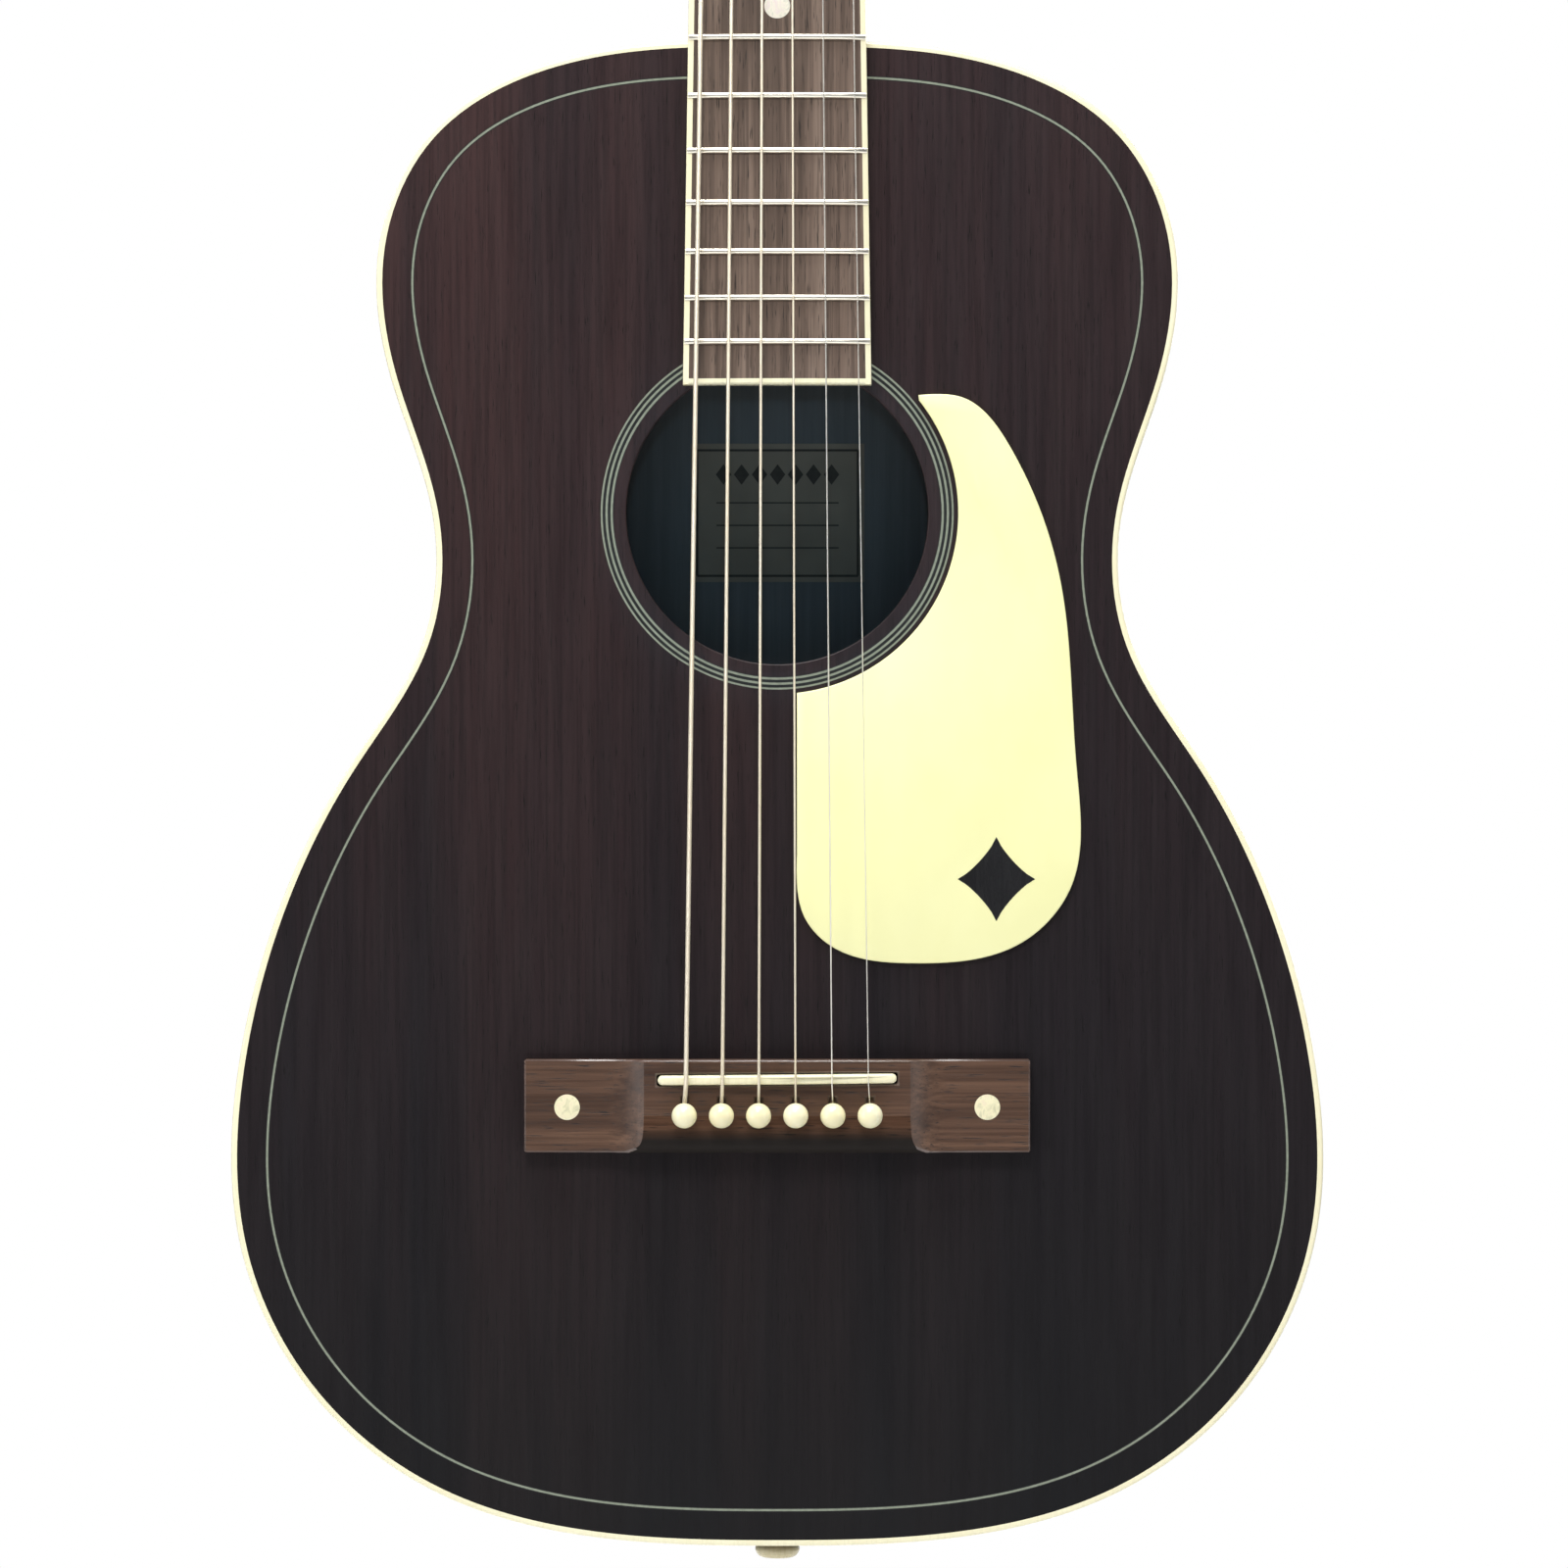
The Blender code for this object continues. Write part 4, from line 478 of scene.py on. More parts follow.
def prism(loops, low, high):
    """Flat outlines, the later ones holes in the first, as a closed mesh between two heights."""
    flat = [at_height(loop, 0) for loop in loops]
    mesh = curve_mesh(flat, True, dimensions="2D", fill_mode="BOTH", extrude=(high - low) / 2)
    mesh.transform(moved(0, 0, (low + high) / 2))
    return welded(mesh, 1e-6)


def evaluated(obj):
    """The mesh that an object comes to with its modifiers. The object goes."""
    bpy.context.view_layer.update()
    graph = bpy.context.evaluated_depsgraph_get()
    mesh = bpy.data.meshes.new_from_object(obj.evaluated_get(graph))
    bpy.data.objects.remove(obj)
    return mesh


def welded(mesh, distance):
    bm = bmesh.new()
    bm.from_mesh(mesh)
    bmesh.ops.remove_doubles(bm, verts=bm.verts, dist=distance)
    return mesh_of(bm)


def turned(profile, sides=32):
    """(radius, height) points turned about local Z. The ends lie on the axis, or the profile is closed."""
    bm = bmesh.new()
    rings = []
    for radius, height in profile:
        points = circle(radius, count=sides) if radius else [(0, 0)]
        rings.append([bm.verts.new((x, y, height)) for x, y in points])
    pairs = list(zip(rings, rings[1:]))
    if profile[0][0] and profile[-1][0]:
        pairs.append((rings[-1], rings[0]))
    for lower, upper in pairs:
        for i in range(sides):
            j = (i + 1) % sides
            corners = [ring[k % len(ring)] for ring, k in ((lower, i), (lower, j), (upper, j), (upper, i))]
            bm.faces.new(list(dict.fromkeys(corners)))
    return mesh_of(bm)


def joined(meshes):
    bm = bmesh.new()
    for mesh in meshes:
        bm.from_mesh(mesh)
        bpy.data.meshes.remove(mesh)
    return mesh_of(bm)


def box_mesh(low, high):
    bm = bmesh.new()
    bmesh.ops.create_cube(bm, size=1)
    size = Vector(high) - Vector(low)
    centre = (Vector(high) + Vector(low)) / 2
    bm.transform(moved(*centre) @ Matrix.Diagonal((*size, 1)))
    return mesh_of(bm)


def carved(blank, cutter):
    """What is left of one mesh when another is cut out of it."""
    kept, tool = added("blank", blank), added("cutter", cutter)
    cut = kept.modifiers.new("cut", "BOOLEAN")
    cut.operation, cut.object = "DIFFERENCE", tool
    mesh = evaluated(kept)
    bpy.data.objects.remove(tool)
    return mesh


def piece(name, mesh, material, matrix=BENCH, body="guitar", stands_for=(), angle=35):
    """Puts a finished mesh in the row frame, on its body, with its material. It is
    shaded smooth, except where faces meet at more than angle degrees."""
    mesh.name = name
    mesh.transform(matrix)
    mesh.materials.clear()
    mesh.materials.append(MATERIALS[material])
    mesh.polygons.foreach_set("use_smooth", [True] * len(mesh.polygons))
    mesh.set_sharp_from_angle(angle=radians(angle))
    obj = added(name, mesh)
    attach(obj, body)
    if stands_for:
        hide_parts(*stands_for)
    return obj


def eased(obj, width, segments=2, angle=40):
    """Rounds a piece's hard edges, as a file or a buffing wheel would."""
    bevel = obj.modifiers.new("eased_edges", "BEVEL")
    bevel.width = width
    bevel.segments = segments
    bevel.limit_method = "ANGLE"
    bevel.angle_limit = radians(angle)
    bevel.harden_normals = True
    bevel.use_clamp_overlap = False
    return obj


def faced(obj, material, chosen):
    """Puts one more material on a piece, on the faces that a test chooses."""
    obj.data.materials.append(MATERIALS[material])
    for polygon in obj.data.polygons:
        if chosen(polygon):
            polygon.material_index = len(obj.data.materials) - 1


def cad_mesh(node):
    """A copy of a CAD node's mesh with its doubled corners welded and its flat faces made whole."""
    bm = bmesh.new()
    bm.from_mesh(frame["nodes"][node].data)
    bmesh.ops.remove_doubles(bm, verts=bm.verts, dist=5e-6)
    flat = radians(0.6)
    bmesh.ops.dissolve_limit(bm, angle_limit=flat, verts=bm.verts, edges=bm.edges, delimit={"NORMAL"})
    bm.normal_update()
    mesh = bpy.data.meshes.new(node)
    bm.to_mesh(mesh)
    bm.free()
    for attribute in [a for a in mesh.attributes if a.name == "custom_normal"]:
        mesh.attributes.remove(attribute)
    return mesh


def refined(node, material, width, segments=2, angle=35, body="guitar"):
    """A CAD node's own shape with eased edges and smooth shading."""
    obj = piece(f"{node}_shaped", cad_mesh(node), material, Matrix(), body, [node], angle)
    return eased(obj, width, segments, angle + 5)


def carried(node, material):
    """A CAD node that is shown as it is, with its material."""
    slots = frame["nodes"][node].data.materials
    slots.clear()
    slots.append(MATERIALS[material])


# ---- outlines


def spline_through(anchors, count, closed):
    """Points along a cubic spline through the anchors, even in chord length, C2 smooth."""
    points = np.array(anchors, float)
    if closed:
        points = np.vstack([points, points[:1]])
    chords = np.hypot(*np.diff(points, axis=0).T)
    knots = np.concatenate([[0], np.cumsum(chords)])
    last = len(points) - 1
    system = np.zeros((last + 1, last + 1))
    right = np.zeros((last + 1, 2))
    slopes = np.diff(points, axis=0) / chords[:, None]
    for i in range(1, last):
        system[i, i - 1 : i + 2] = chords[i - 1], 2 * (chords[i - 1] + chords[i]), chords[i]
        right[i] = 6 * (slopes[i] - slopes[i - 1])
    if closed:
        system[0, [0, 1, last - 1]] = 2 * (chords[-1] + chords[0]), chords[0], chords[-1]
        right[0] = 6 * (slopes[0] - slopes[-1])
        system[last, [0, last]] = 1, -1
    else:
        system[0, 0] = system[last, last] = 1
    bends = np.linalg.solve(system, right)
    where = np.linspace(0, knots[-1], count, endpoint=not closed)
    span = np.clip(np.searchsorted(knots, where, side="right") - 1, 0, last - 1)
    width = chords[span][:, None]
    before = (knots[span + 1] - where)[:, None]
    after = (where - knots[span])[:, None]
    result = (
        (bends[span] * before**3 + bends[span + 1] * after**3) / (6 * width)
        + (points[span] / width - bends[span] * width / 6) * before
        + (points[span + 1] / width - bends[span + 1] * width / 6) * after
    )
    return [tuple(point) for point in result]


# One half of the body's outline, from the tail to the neck joint: (half width, distance from the tail).
LOWER_BOUT = in_mm((0, 0), (54, 2.6), (98, 14.6), (136, 43.6), (158, 87.5), (159, 139.5), (146.5, 188.5))
WAIST = in_mm((126, 229.8), (104.5, 266), (101.6, 304))
UPPER_BOUT = in_mm((113.8, 344), (117.2, 384), (102.5, 416), (66, 437.4), (0, 443.5))
HALF_BODY = LOWER_BOUT + WAIST + UPPER_BOUT


def body_outline(inset=0.0, tail_y=TAIL_Y):
    """The body's outline, moved in by inset. It starts at the tail and goes round by the treble side."""
    mirrored = [(-x, y) for x, y in reversed(HALF_BODY[1:-1])]
    points = spline_through(HALF_BODY + mirrored, FINE, closed=True)
    return [(x, y + tail_y) for x, y in moved_in(points, inset)]


def moved_in(loop, inset):
    """A counterclockwise loop moved inwards by inset."""
    points = np.array(loop)
    tangents = np.roll(points, -1, axis=0) - np.roll(points, 1, axis=0)
    normals = np.stack([tangents[:, 1], -tangents[:, 0]], axis=1)
    normals /= np.linalg.norm(normals, axis=1)[:, None]
    return [tuple(point) for point in points - inset * normals]


def circle(radius, centre=(0, 0), count=128):
    points = (polar(radius, 2 * pi * i / count) for i in range(count))
    return [(centre[0] + x, centre[1] + y) for x, y in points]


def at_height(loop, z):
    return [(x, y, z) for x, y in loop]


def back_ledge(y):
    """How high the binding of the sloping back reaches."""
    return TAIL_BACK_Z + (y - TAIL_Y) * tan(BACK_SLOPE) + BINDING_DEPTH / cos(BACK_SLOPE)


def board_half_width(y):
    share = (NUT_Y - y) / (NUT_Y - BOARD_END_Y)
    return (BOARD_WIDTH_AT_NUT + share * (BOARD_WIDTH_AT_END - BOARD_WIDTH_AT_NUT)) / 2


def crown(x):
    return x * x / (2 * BOARD_RADIUS)


def fret_y(number):
    return NUT_Y - SCALE_LENGTH * (1 - 2 ** (-number / 12))


# ---- body


def soundboard():
    """The top in three fields: outside the purfling, inside it, and the ring left round the hole."""
    low = TOP_Z - TOP_THICKNESS
    outer = [body_outline(BINDING_WIDTH), body_outline(PURFLING_INSET)]
    inner = [body_outline(PURFLING_INSET + PURFLING_WIDTH), circle(ROSETTE_OUTER, (0, HOLE_Y))]
    edge = 0.55 * MM
    rim = [(ROSETTE_INNER, TOP_Z), (HOLE_RADIUS + edge, TOP_Z)]
    for angle in spaced(0, pi / 2, 5)[1:]:
        rim.append((HOLE_RADIUS + edge * (1 - sin(angle)), TOP_Z - edge * (1 - cos(angle))))
    rim += [(HOLE_RADIUS, low), (ROSETTE_INNER, low)]
    loops = [at_height(circle(radius, (0, HOLE_Y)), z) for radius, z in rim]
    meshes = [
        prism(outer, low, TOP_Z),
        prism(inner, low, TOP_Z),
        skin(loops, ring=True),
    ]
    piece("soundboard_wood", joined(meshes), "mahogany", stands_for=["soundboard"])


def flush_ring(outer, inner):
    """A ring let into the top."""
    low, high = TOP_Z - 0.9 * MM, TOP_Z + 0.012 * MM
    loops = [at_height(outer, low), at_height(outer, high), at_height(inner, high), at_height(inner, low)]
    return skin(loops, ring=True)


def top_lines():
    """The pale line round the top, and the rosette's pale and black rings."""
    insets = [PURFLING_INSET + share * PURFLING_WIDTH for share in (0, 0.22, 0.78, 1)]
    rings = []
    for outer, inner in zip(insets, insets[1:]):
        rings.append(flush_ring(body_outline(outer), body_outline(inner)))
    piece("top_purfling_line", rings[1], "line", stands_for=["top_purfling"])
    piece("top_purfling_edges", joined([rings[0], rings[2]]), "line_black")
    inner_edges = [edge * MM for edge in (51.45, 50.6, 49.95, 49.1, 48.45)]
    edges = [ROSETTE_OUTER] + inner_edges + [ROSETTE_INNER]
    pale = []
    black = []
    for i, (outer, inner) in enumerate(zip(edges, edges[1:])):
        ring = flush_ring(circle(outer, (0, HOLE_Y)), circle(inner, (0, HOLE_Y)))
        (black if i % 2 else pale).append(ring)
    piece("rosette_pale_rings", joined(pale), "line", stands_for=["rosette"])
    piece("rosette_black_rings", joined(black), "line_black")


def bindings():
    """Strips round both faces of the body, each with one rounded outer corner."""
    corner = 0.9 * MM
    section = [(0, BINDING_DEPTH)]
    for angle in spaced(0, pi / 2, 5):
        section.append((corner * (1 - cos(angle)), corner * (1 - sin(angle))))
    section += [(BINDING_WIDTH, 0), (BINDING_WIDTH, BINDING_DEPTH)]
    top = [at_height(body_outline(inset), TOP_Z - under) for inset, under in section]
    back = [at_height(body_outline(inset, 0), under) for inset, under in section]
    for node, loops, matrix in (("top_binding", top, BENCH), ("back_binding", back, BACK)):
        mesh = skin(loops, ring=True)
        piece(f"{node}_strip", mesh, "cream", matrix, stands_for=[node])


def back():
    mesh = prism([body_outline(BINDING_WIDTH, 0)], 0, BACK_THICKNESS)
    obj = piece("back_wood", mesh, "mahogany", BACK, stands_for=["back_plate"])
    faced(obj, "inner", lambda face: face.normal.y < -0.9)


def ribs():
    """The bent sides: under the dark stain outside, bare inside, from the tail seam to either side of the
    tenon.
    """
    outer, inner = body_outline(0.02 * MM), body_outline(SIDE_THICKNESS)
    top, corners = TOP_Z - BINDING_DEPTH, 4
    for word, side in SIDES:
        sections = []
        for (x, y), (inner_x, inner_y) in list(zip(outer, inner))[: FINE // 2 + 1]:
            if x <= 0.05 * MM or (y >= JOINT_Y - 20 * MM and x <= TENON_HALF_WIDTH):
                continue
            section = [(x, y, top), (x, y, back_ledge(y))]
            section += [(inner_x, inner_y, back_ledge(inner_y)), (inner_x, inner_y, top)]
            sections.append([(side * a, b, c) for a, b, c in section])
        node, mesh = f"side_{word}", skin(sections)
        obj = piece(f"{node}_wood", mesh, "mahogany", stands_for=[node])
        # The third face of each run between two sections looks into the box.
        faced(obj, "inner", lambda face: face.index % corners == 2)


def inside():
    """What shows through the hole: braces, blocks and linings in bare wood, and the label."""
    braces = ["x_brace", "transverse_brace", "tone_bar"]
    braces += [f"back_brace_{place}" for place in ("lower", "middle", "upper")]
    for node in braces:
        refined(node, "spruce", 0.6 * MM)
    linings = [f"{face}_lining_{word}" for face in ("top", "back") for word in dict(SIDES)]
    for node in ["neck_block", "tail_block", "bridge_plate"] + linings:
        carried(node, "block")
    carried("label", "paper")
    label_print()


def label_print():
    """A ruled border, a row of plain diamonds and three writing lines, with no lettering."""
    half_width, half_height, line, ink = 25 * MM, 19.5 * MM, 0.35 * MM, 0.05 * MM
    y = (middle("label").z - TAIL_Y) / cos(BACK_SLOPE)
    level = BACK_THICKNESS + 0.31 * MM
    strips = []
    for side in (-1, 1):
        x, v = side * half_width, y + side * half_height
        strips.append(((x - line, y - half_height), (x + line, y + half_height)))
        strips.append(((-half_width, v - line), (half_width, v + line)))
    for row in (-11 * MM, -4 * MM, 3 * MM):
        strips.append(((-19 * MM, y + row), (19 * MM, y + row + 0.4 * MM)))
    meshes = [box_mesh((*low, level), (*high, level + ink)) for low, high in strips]
    for column in range(-3, 4):
        corners = in_mm((2.4, 0), (0, 3.2), (-2.4, 0), (0, -3.2))
        diamond = [(column * 5.6 * MM + dx, y + 12 * MM + dy) for dx, dy in corners]
        meshes.append(prism([diamond], level, level + ink))
    piece("label_print", joined(meshes), "ink", BACK)


def pickguard():
    """An arc round the rosette, a straight edge along the strings, and one curve round the rest."""
    foot = in_mm((5.8, 214), (5.8, 205), (7.9, 195.5), (15.2, 187.2), (40, 181.7), (73, 188.4), (86, 203))
    outside = in_mm((88.1, 240), (84, 291), (69.3, 332.5), (54.5, 348.3), (41.6, 349))
    radius = 53.3 * MM
    curve = spline_through(foot + outside, 220, closed=False)
    tip, inner_x = curve[-1], foot[0][0]
    turns = spaced(atan2(tip[1] - HOLE_Y, tip[0]), -acos(inner_x / radius), 90)[1:]
    arc = [(x, HOLE_Y + y) for x, y in (polar(radius, angle) for angle in turns)]
    low, high, edge = TOP_Z + 0.02 * MM, TOP_Z + 1.3 * MM, 0.4 * MM
    section = [(0, low), (0, high - edge), (0.29 * edge, high - 0.29 * edge), (edge, high)]
    loops = [at_height(moved_in(curve + arc, inset), z) for inset, z in section]
    mesh = skin(loops)
    piece("pickguard_plate", mesh, "pickguard", stands_for=["pickguard"], angle=60)
    emblem((64.5 * MM, 206.5 * MM), TOP_Z + 1.28 * MM)


def emblem(centre, low):
    """A plain dark four-pointed lozenge, where makers put a mark."""
    half_width, half_height, hollow = 11.4 * MM, 12.4 * MM, 0.82
    loop = []
    for angle in spaced(0, 2 * pi, 40)[:-1]:
        x, y = polar(1, angle)
        pull = (abs(x) ** hollow + abs(y) ** hollow) ** (-1 / hollow)
        loop.append((centre[0] + half_width * pull * x, centre[1] + half_height * pull * y))
    piece("pickguard_lozenge", prism([loop], low, low + 0.09 * MM), "black")


# ---- bridge and strap button


def on_bridge_roll(face):
    """Whether a face looks forward and a little down, between the bridge's wings."""
    return face.normal.y < -0.5 and face.normal.z < -0.015 and abs(face.center.x) < 50 * MM


def bridge():
    obj = refined("bridge", "bridge", 0.45 * MM, 1, 22)
    # The chamfers get the lighter edge wood: a real burnished gloss with a painted highlight.
    obj.data.materials.append(MATERIALS["bridge_edge"])
    chamfer = obj.modifiers["eased_edges"]
    chamfer.angle_limit = radians(50)
    chamfer.harden_normals = False
    chamfer.mark_sharp = True
    chamfer.material = 1
    # Painted shade on the faces of the roll, which turn down away from the light.
    faced(obj, "bridge_roll", on_bridge_roll)
    profile = in_mm((0, 0.1), (3.3, 0.1), (3.75, 0.02), (3.75, -0.5), (0, -0.5))
    for word, side in SIDES:
        matrix = BENCH @ moved(side * 61.7 * MM, 139.6 * MM, TOP_Z + 4.6 * MM)
        piece(f"bridge_dot_{word}", turned(profile, 48), "aged_pearl", matrix)


def saddle():
    """A bone-white bar with round ends, its crest following the fingerboard's curve."""
    low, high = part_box("saddle")
    half, radius = (high.x - low.x) / 2, 1.4 * MM
    stadium = []
    for side in (1, -1):
        for angle in spaced(-pi / 2, pi / 2, 12):
            x, y = polar(radius, angle)
            stadium.append((side * (half - radius + x), side * y))
    loop = []
    for (x, y), (next_x, next_y) in zip(stadium, stadium[1:] + stadium[:1]):
        steps = 24 if abs(next_x - x) > half else 1
        for share in spaced(0, 1, steps)[:-1]:
            loop.append((x + (next_x - x) * share, y + (next_y - y) * share))
    crest, floor = -low.y - 0.02 * MM, -high.y
    levels = [(0, None)] + in_mm((0, 0.75), (0.12, 0.35), (0.4, 0.1), (0.8, 0))
    loops = []
    for inset, under in levels:
        share = 1 - inset / radius
        scaled = [(x * (half - inset) / half, y * share) for x, y in loop]
        loops.append([(x, y, floor if under is None else crest - under - crown(x)) for x, y in scaled])
    slant = moved(0, (low.z + high.z) / 2, 0) @ spun(radians(0.5), "Z")
    mesh = skin(loops)
    piece("saddle_bar", mesh, "cream", BENCH @ slant, stands_for=["saddle"], angle=50)


def bridge_pins():
    """Turned pins with a ball head, a collar and a flute that the string lies in."""
    collar = BRIDGE_TOP_Z + 0.3 * MM
    ball_radius = 3.7 * MM
    ball_z = collar + 0.6 * MM + ball_radius * 0.86
    profile = [(0, ball_z + ball_radius)]
    for angle in spaced(pi / 2, pi / 2 - radians(148), 18)[1:]:
        x, z = polar(ball_radius, angle)
        profile.append((x, ball_z + z))
    rim = in_mm((3.05, 0.75), (3.3, 0.5), (3.3, 0.12), (3.15, 0))
    shank = in_mm((2.5, 0), (2.3, -22.6), (1.5, -23.9), (0, -24))
    profile += [(radius, collar + above) for radius, above in rim + shank]
    low, high = (-1.05 * MM, 0.85 * MM, collar - 30 * MM), (1.05 * MM, 5 * MM, collar + 1.5 * MM)
    fluted = carved(turned(profile, 36), box_mesh(low, high))
    for string in STRINGS:
        matrix = BENCH @ moved(PIN_SPREAD * (0.5 - (string - 1) / 5), PIN_Y, 0)
        node = f"bridge_pin_{string}"
        piece(f"{node}_turned", fluted.copy(), "ivory", matrix, f"pin_{string}", [node])


def strap_button():
    """A peg in the tail block, with a flared collar, a waist and a domed head."""
    peg = in_mm((0, 31), (2.8, 31), (3.6, 10.3), (3.6, 9.8))
    flare = in_mm((5.3, 9.7), (5.6, 9.4), (5.55, 8.7), (5, 7.9), (4.3, 7.2), (3.95, 6.4), (3.9, 5.6))
    head = in_mm((4.3, 4.8), (5.3, 4), (6.3, 3.4), (6.7, 2.8), (6.7, 2))
    dome = in_mm((6.4, 1.2), (5.8, 0.4), (5, 0), (0, 0))
    mesh = turned(peg + flare + head + dome, 48)
    # The turning axis points up the body.
    mesh.transform(spun(-pi / 2, "X"))
    # The button is painted a darker cream as shade.
    piece("strap_button", mesh, "cream_painted_shade", stands_for=["end_button"])


# ---- neck, fingerboard and strings


def neck():
    obj = refined("neck", "neck", 0.9 * MM, 3, 32)
    obj.modifiers["eased_edges"].use_clamp_overlap = True
    faced(obj, "headplate", lambda face: face.normal.dot(HEAD_FRONT) > 0.98 and face.center.z > HEAD_Y)
    refined("heel_cap", "cream", 0.4 * MM)
    refined("truss_rod_cover", "black", 0.35 * MM)
    carried("truss_rod", "steel")
    refined("truss_rod_nut", "steel", 0.3 * MM, body="rod_nut")


def fingerboard():
    """The board with its crowned face, and the binding along its sides and round its lower end."""
    low, top = TOP_Z + 0.3 * MM, TOP_Z + BOARD_THICKNESS
    end_y = BOARD_END_Y + BOARD_BINDING
    ys = spaced(end_y, NUT_Y, 24)
    sections = []
    for y in ys:
        half = board_half_width(y) - BOARD_BINDING
        crest = [(x, y, top - crown(x)) for x in spaced(half, -half, 16)]
        sections.append([(half, y, low)] + crest + [(-half, y, low)])
    piece("fingerboard_wood", skin(sections), "board", stands_for=["fingerboard"])
    strips = []
    edge, chamfer = 0.45 * MM, 0.13 * MM
    for side in (-1, 1):
        sections = []
        for y in [BOARD_END_Y] + ys[1:]:
            outer, inner = board_half_width(y), board_half_width(y) - BOARD_BINDING
            face = top - crown(outer)
            profile = [(outer, low), (outer, face - edge), (outer - chamfer, face - chamfer)]
            profile += [(outer - edge, face), (inner, top - crown(inner)), (inner, low)]
            sections.append([(side * x, y, z) for x, z in profile])
        strips.append(skin(sections))
    half = board_half_width(BOARD_END_Y) - 0.2 * MM
    sections = []
    for x in spaced(half, -half, 20):
        z = top - crown(x) + 0.01 * MM
        profile = [(BOARD_END_Y, low), (BOARD_END_Y, z - 0.51 * MM), (BOARD_END_Y + 0.5 * MM, z)]
        profile += [(end_y, z), (end_y, low)]
        sections.append([(x, y, height) for y, height in profile])
    strips.append(skin(sections))
    mesh = joined(strips)
    piece("fingerboard_binding_strip", mesh, "cream", stands_for=["fingerboard_binding"])
    frets(top)
    position_dots(top)


def frets(top):
    """Nickel-silver wire, its crown and its bevelled ends standing over the board and its binding."""
    meshes = []
    half_wide, steps = 0.85 * MM, 14
    for number in range(1, 19):
        y = fret_y(number)
        half = board_half_width(y) - 0.35 * MM
        sections = []
        for i, x in enumerate(spaced(half, -half, steps)):
            at_end = i in (0, steps)
            tall = (0.12 if at_end else 1.0) * MM
            level = top - crown(x)
            if at_end:
                x = copysign(half + 0.1 * MM, x)
            section = [(x, y - half_wide, level - 0.2 * MM)]
            for angle in spaced(0, pi, 8):
                section.append((x, y - half_wide * cos(angle), level + tall * sin(angle) ** 0.8))
            section.append((x, y + half_wide, level - 0.2 * MM))
            sections.append(section)
        meshes.append(skin(sections))
    piece("fret_wires", joined(meshes), "fret", angle=50)


def position_dots(top):
    """Pearl dots in the board at the usual frets, and small ones that look out of the bass binding."""
    face_profile = in_mm((0, 0.05), (3.4, 0.03), (3.8, -0.02), (3.8, -0.8), (0, -0.8))
    side_profile = in_mm((0, 0), (1, 0), (1, -0.4), (0, -0.4))
    turn = spun(-pi / 2, "Y")
    faces = []
    edges = []
    for number in (3, 5, 7, 9, 12):
        y = (fret_y(number) + fret_y(number - 1)) / 2
        faces.append(turned(face_profile, 48))
        faces[-1].transform(moved(0, y, top))
        edges.append(turned(side_profile, 24))
        outer_x = -board_half_width(y) - 0.03 * MM
        edges[-1].transform(moved(outer_x, y, top - 2.9 * MM) @ turn)
    piece("position_dots", joined(faces), "pearl")
    piece("side_dots", joined(edges), "black")


def wire(string):
    """The material of a string."""
    return "plain_wire" if string <= 2 else "bronze_wire"


def strings():
    for string in STRINGS:
        node = f"string_{string}"
        material = wire(string)
        piece(f"{node}_wire", cad_mesh(node), material, Matrix(), stands_for=[node], angle=75)


# ---- head and tuners


def post_place(string):
    side = 1 if string <= 3 else -1
    step = string - 1 if string <= 3 else 6 - string
    return (side * POST_X, FIRST_POST_U + step * POST_PITCH)


def both_flanks(flank):
    """A tooth's section: one flank from root to tip, and then the same mirrored."""
    return [(radius, -half) for radius, half in flank] + list(reversed(flank))


def gear_mesh():
    pitch_radius = GEAR_TEETH * GEAR_MODULE / 2
    tip, root = pitch_radius + 0.65 * MM, pitch_radius - 0.95 * MM
    flank = [(root, 0.72), (tip - 0.15 * MM, 0.3), (tip, 0.18)]
    loop = []
    for tooth in range(GEAR_TEETH):
        centre = -pi / 2 + 2 * pi * tooth / GEAR_TEETH
        loop += [polar(radius, centre + half * MM / radius) for radius, half in both_flanks(flank)]
    return prism([loop, circle(2.2 * MM, count=28)], WORM_N - 1.2 * MM, WORM_N + 1.2 * MM)


def slotted_screw(radius, height):
    """A domed screw head with a slot, its seat at the origin and its dome towards +Z."""
    profile = [(0, height)]
    profile += [(radius * s, height * sqrt(1 - 0.9 * s * s)) for s in (0.3, 0.55, 0.78, 0.93, 1.0)]
    profile += [(radius, -0.3 * MM), (0, -0.3 * MM)]
    reach, half_slot = 2 * radius, 0.13 * radius
    slot = box_mesh((-reach, -half_slot, height / 2), (reach, half_slot, 2 * height))
    return carved(turned(profile, 28), slot)


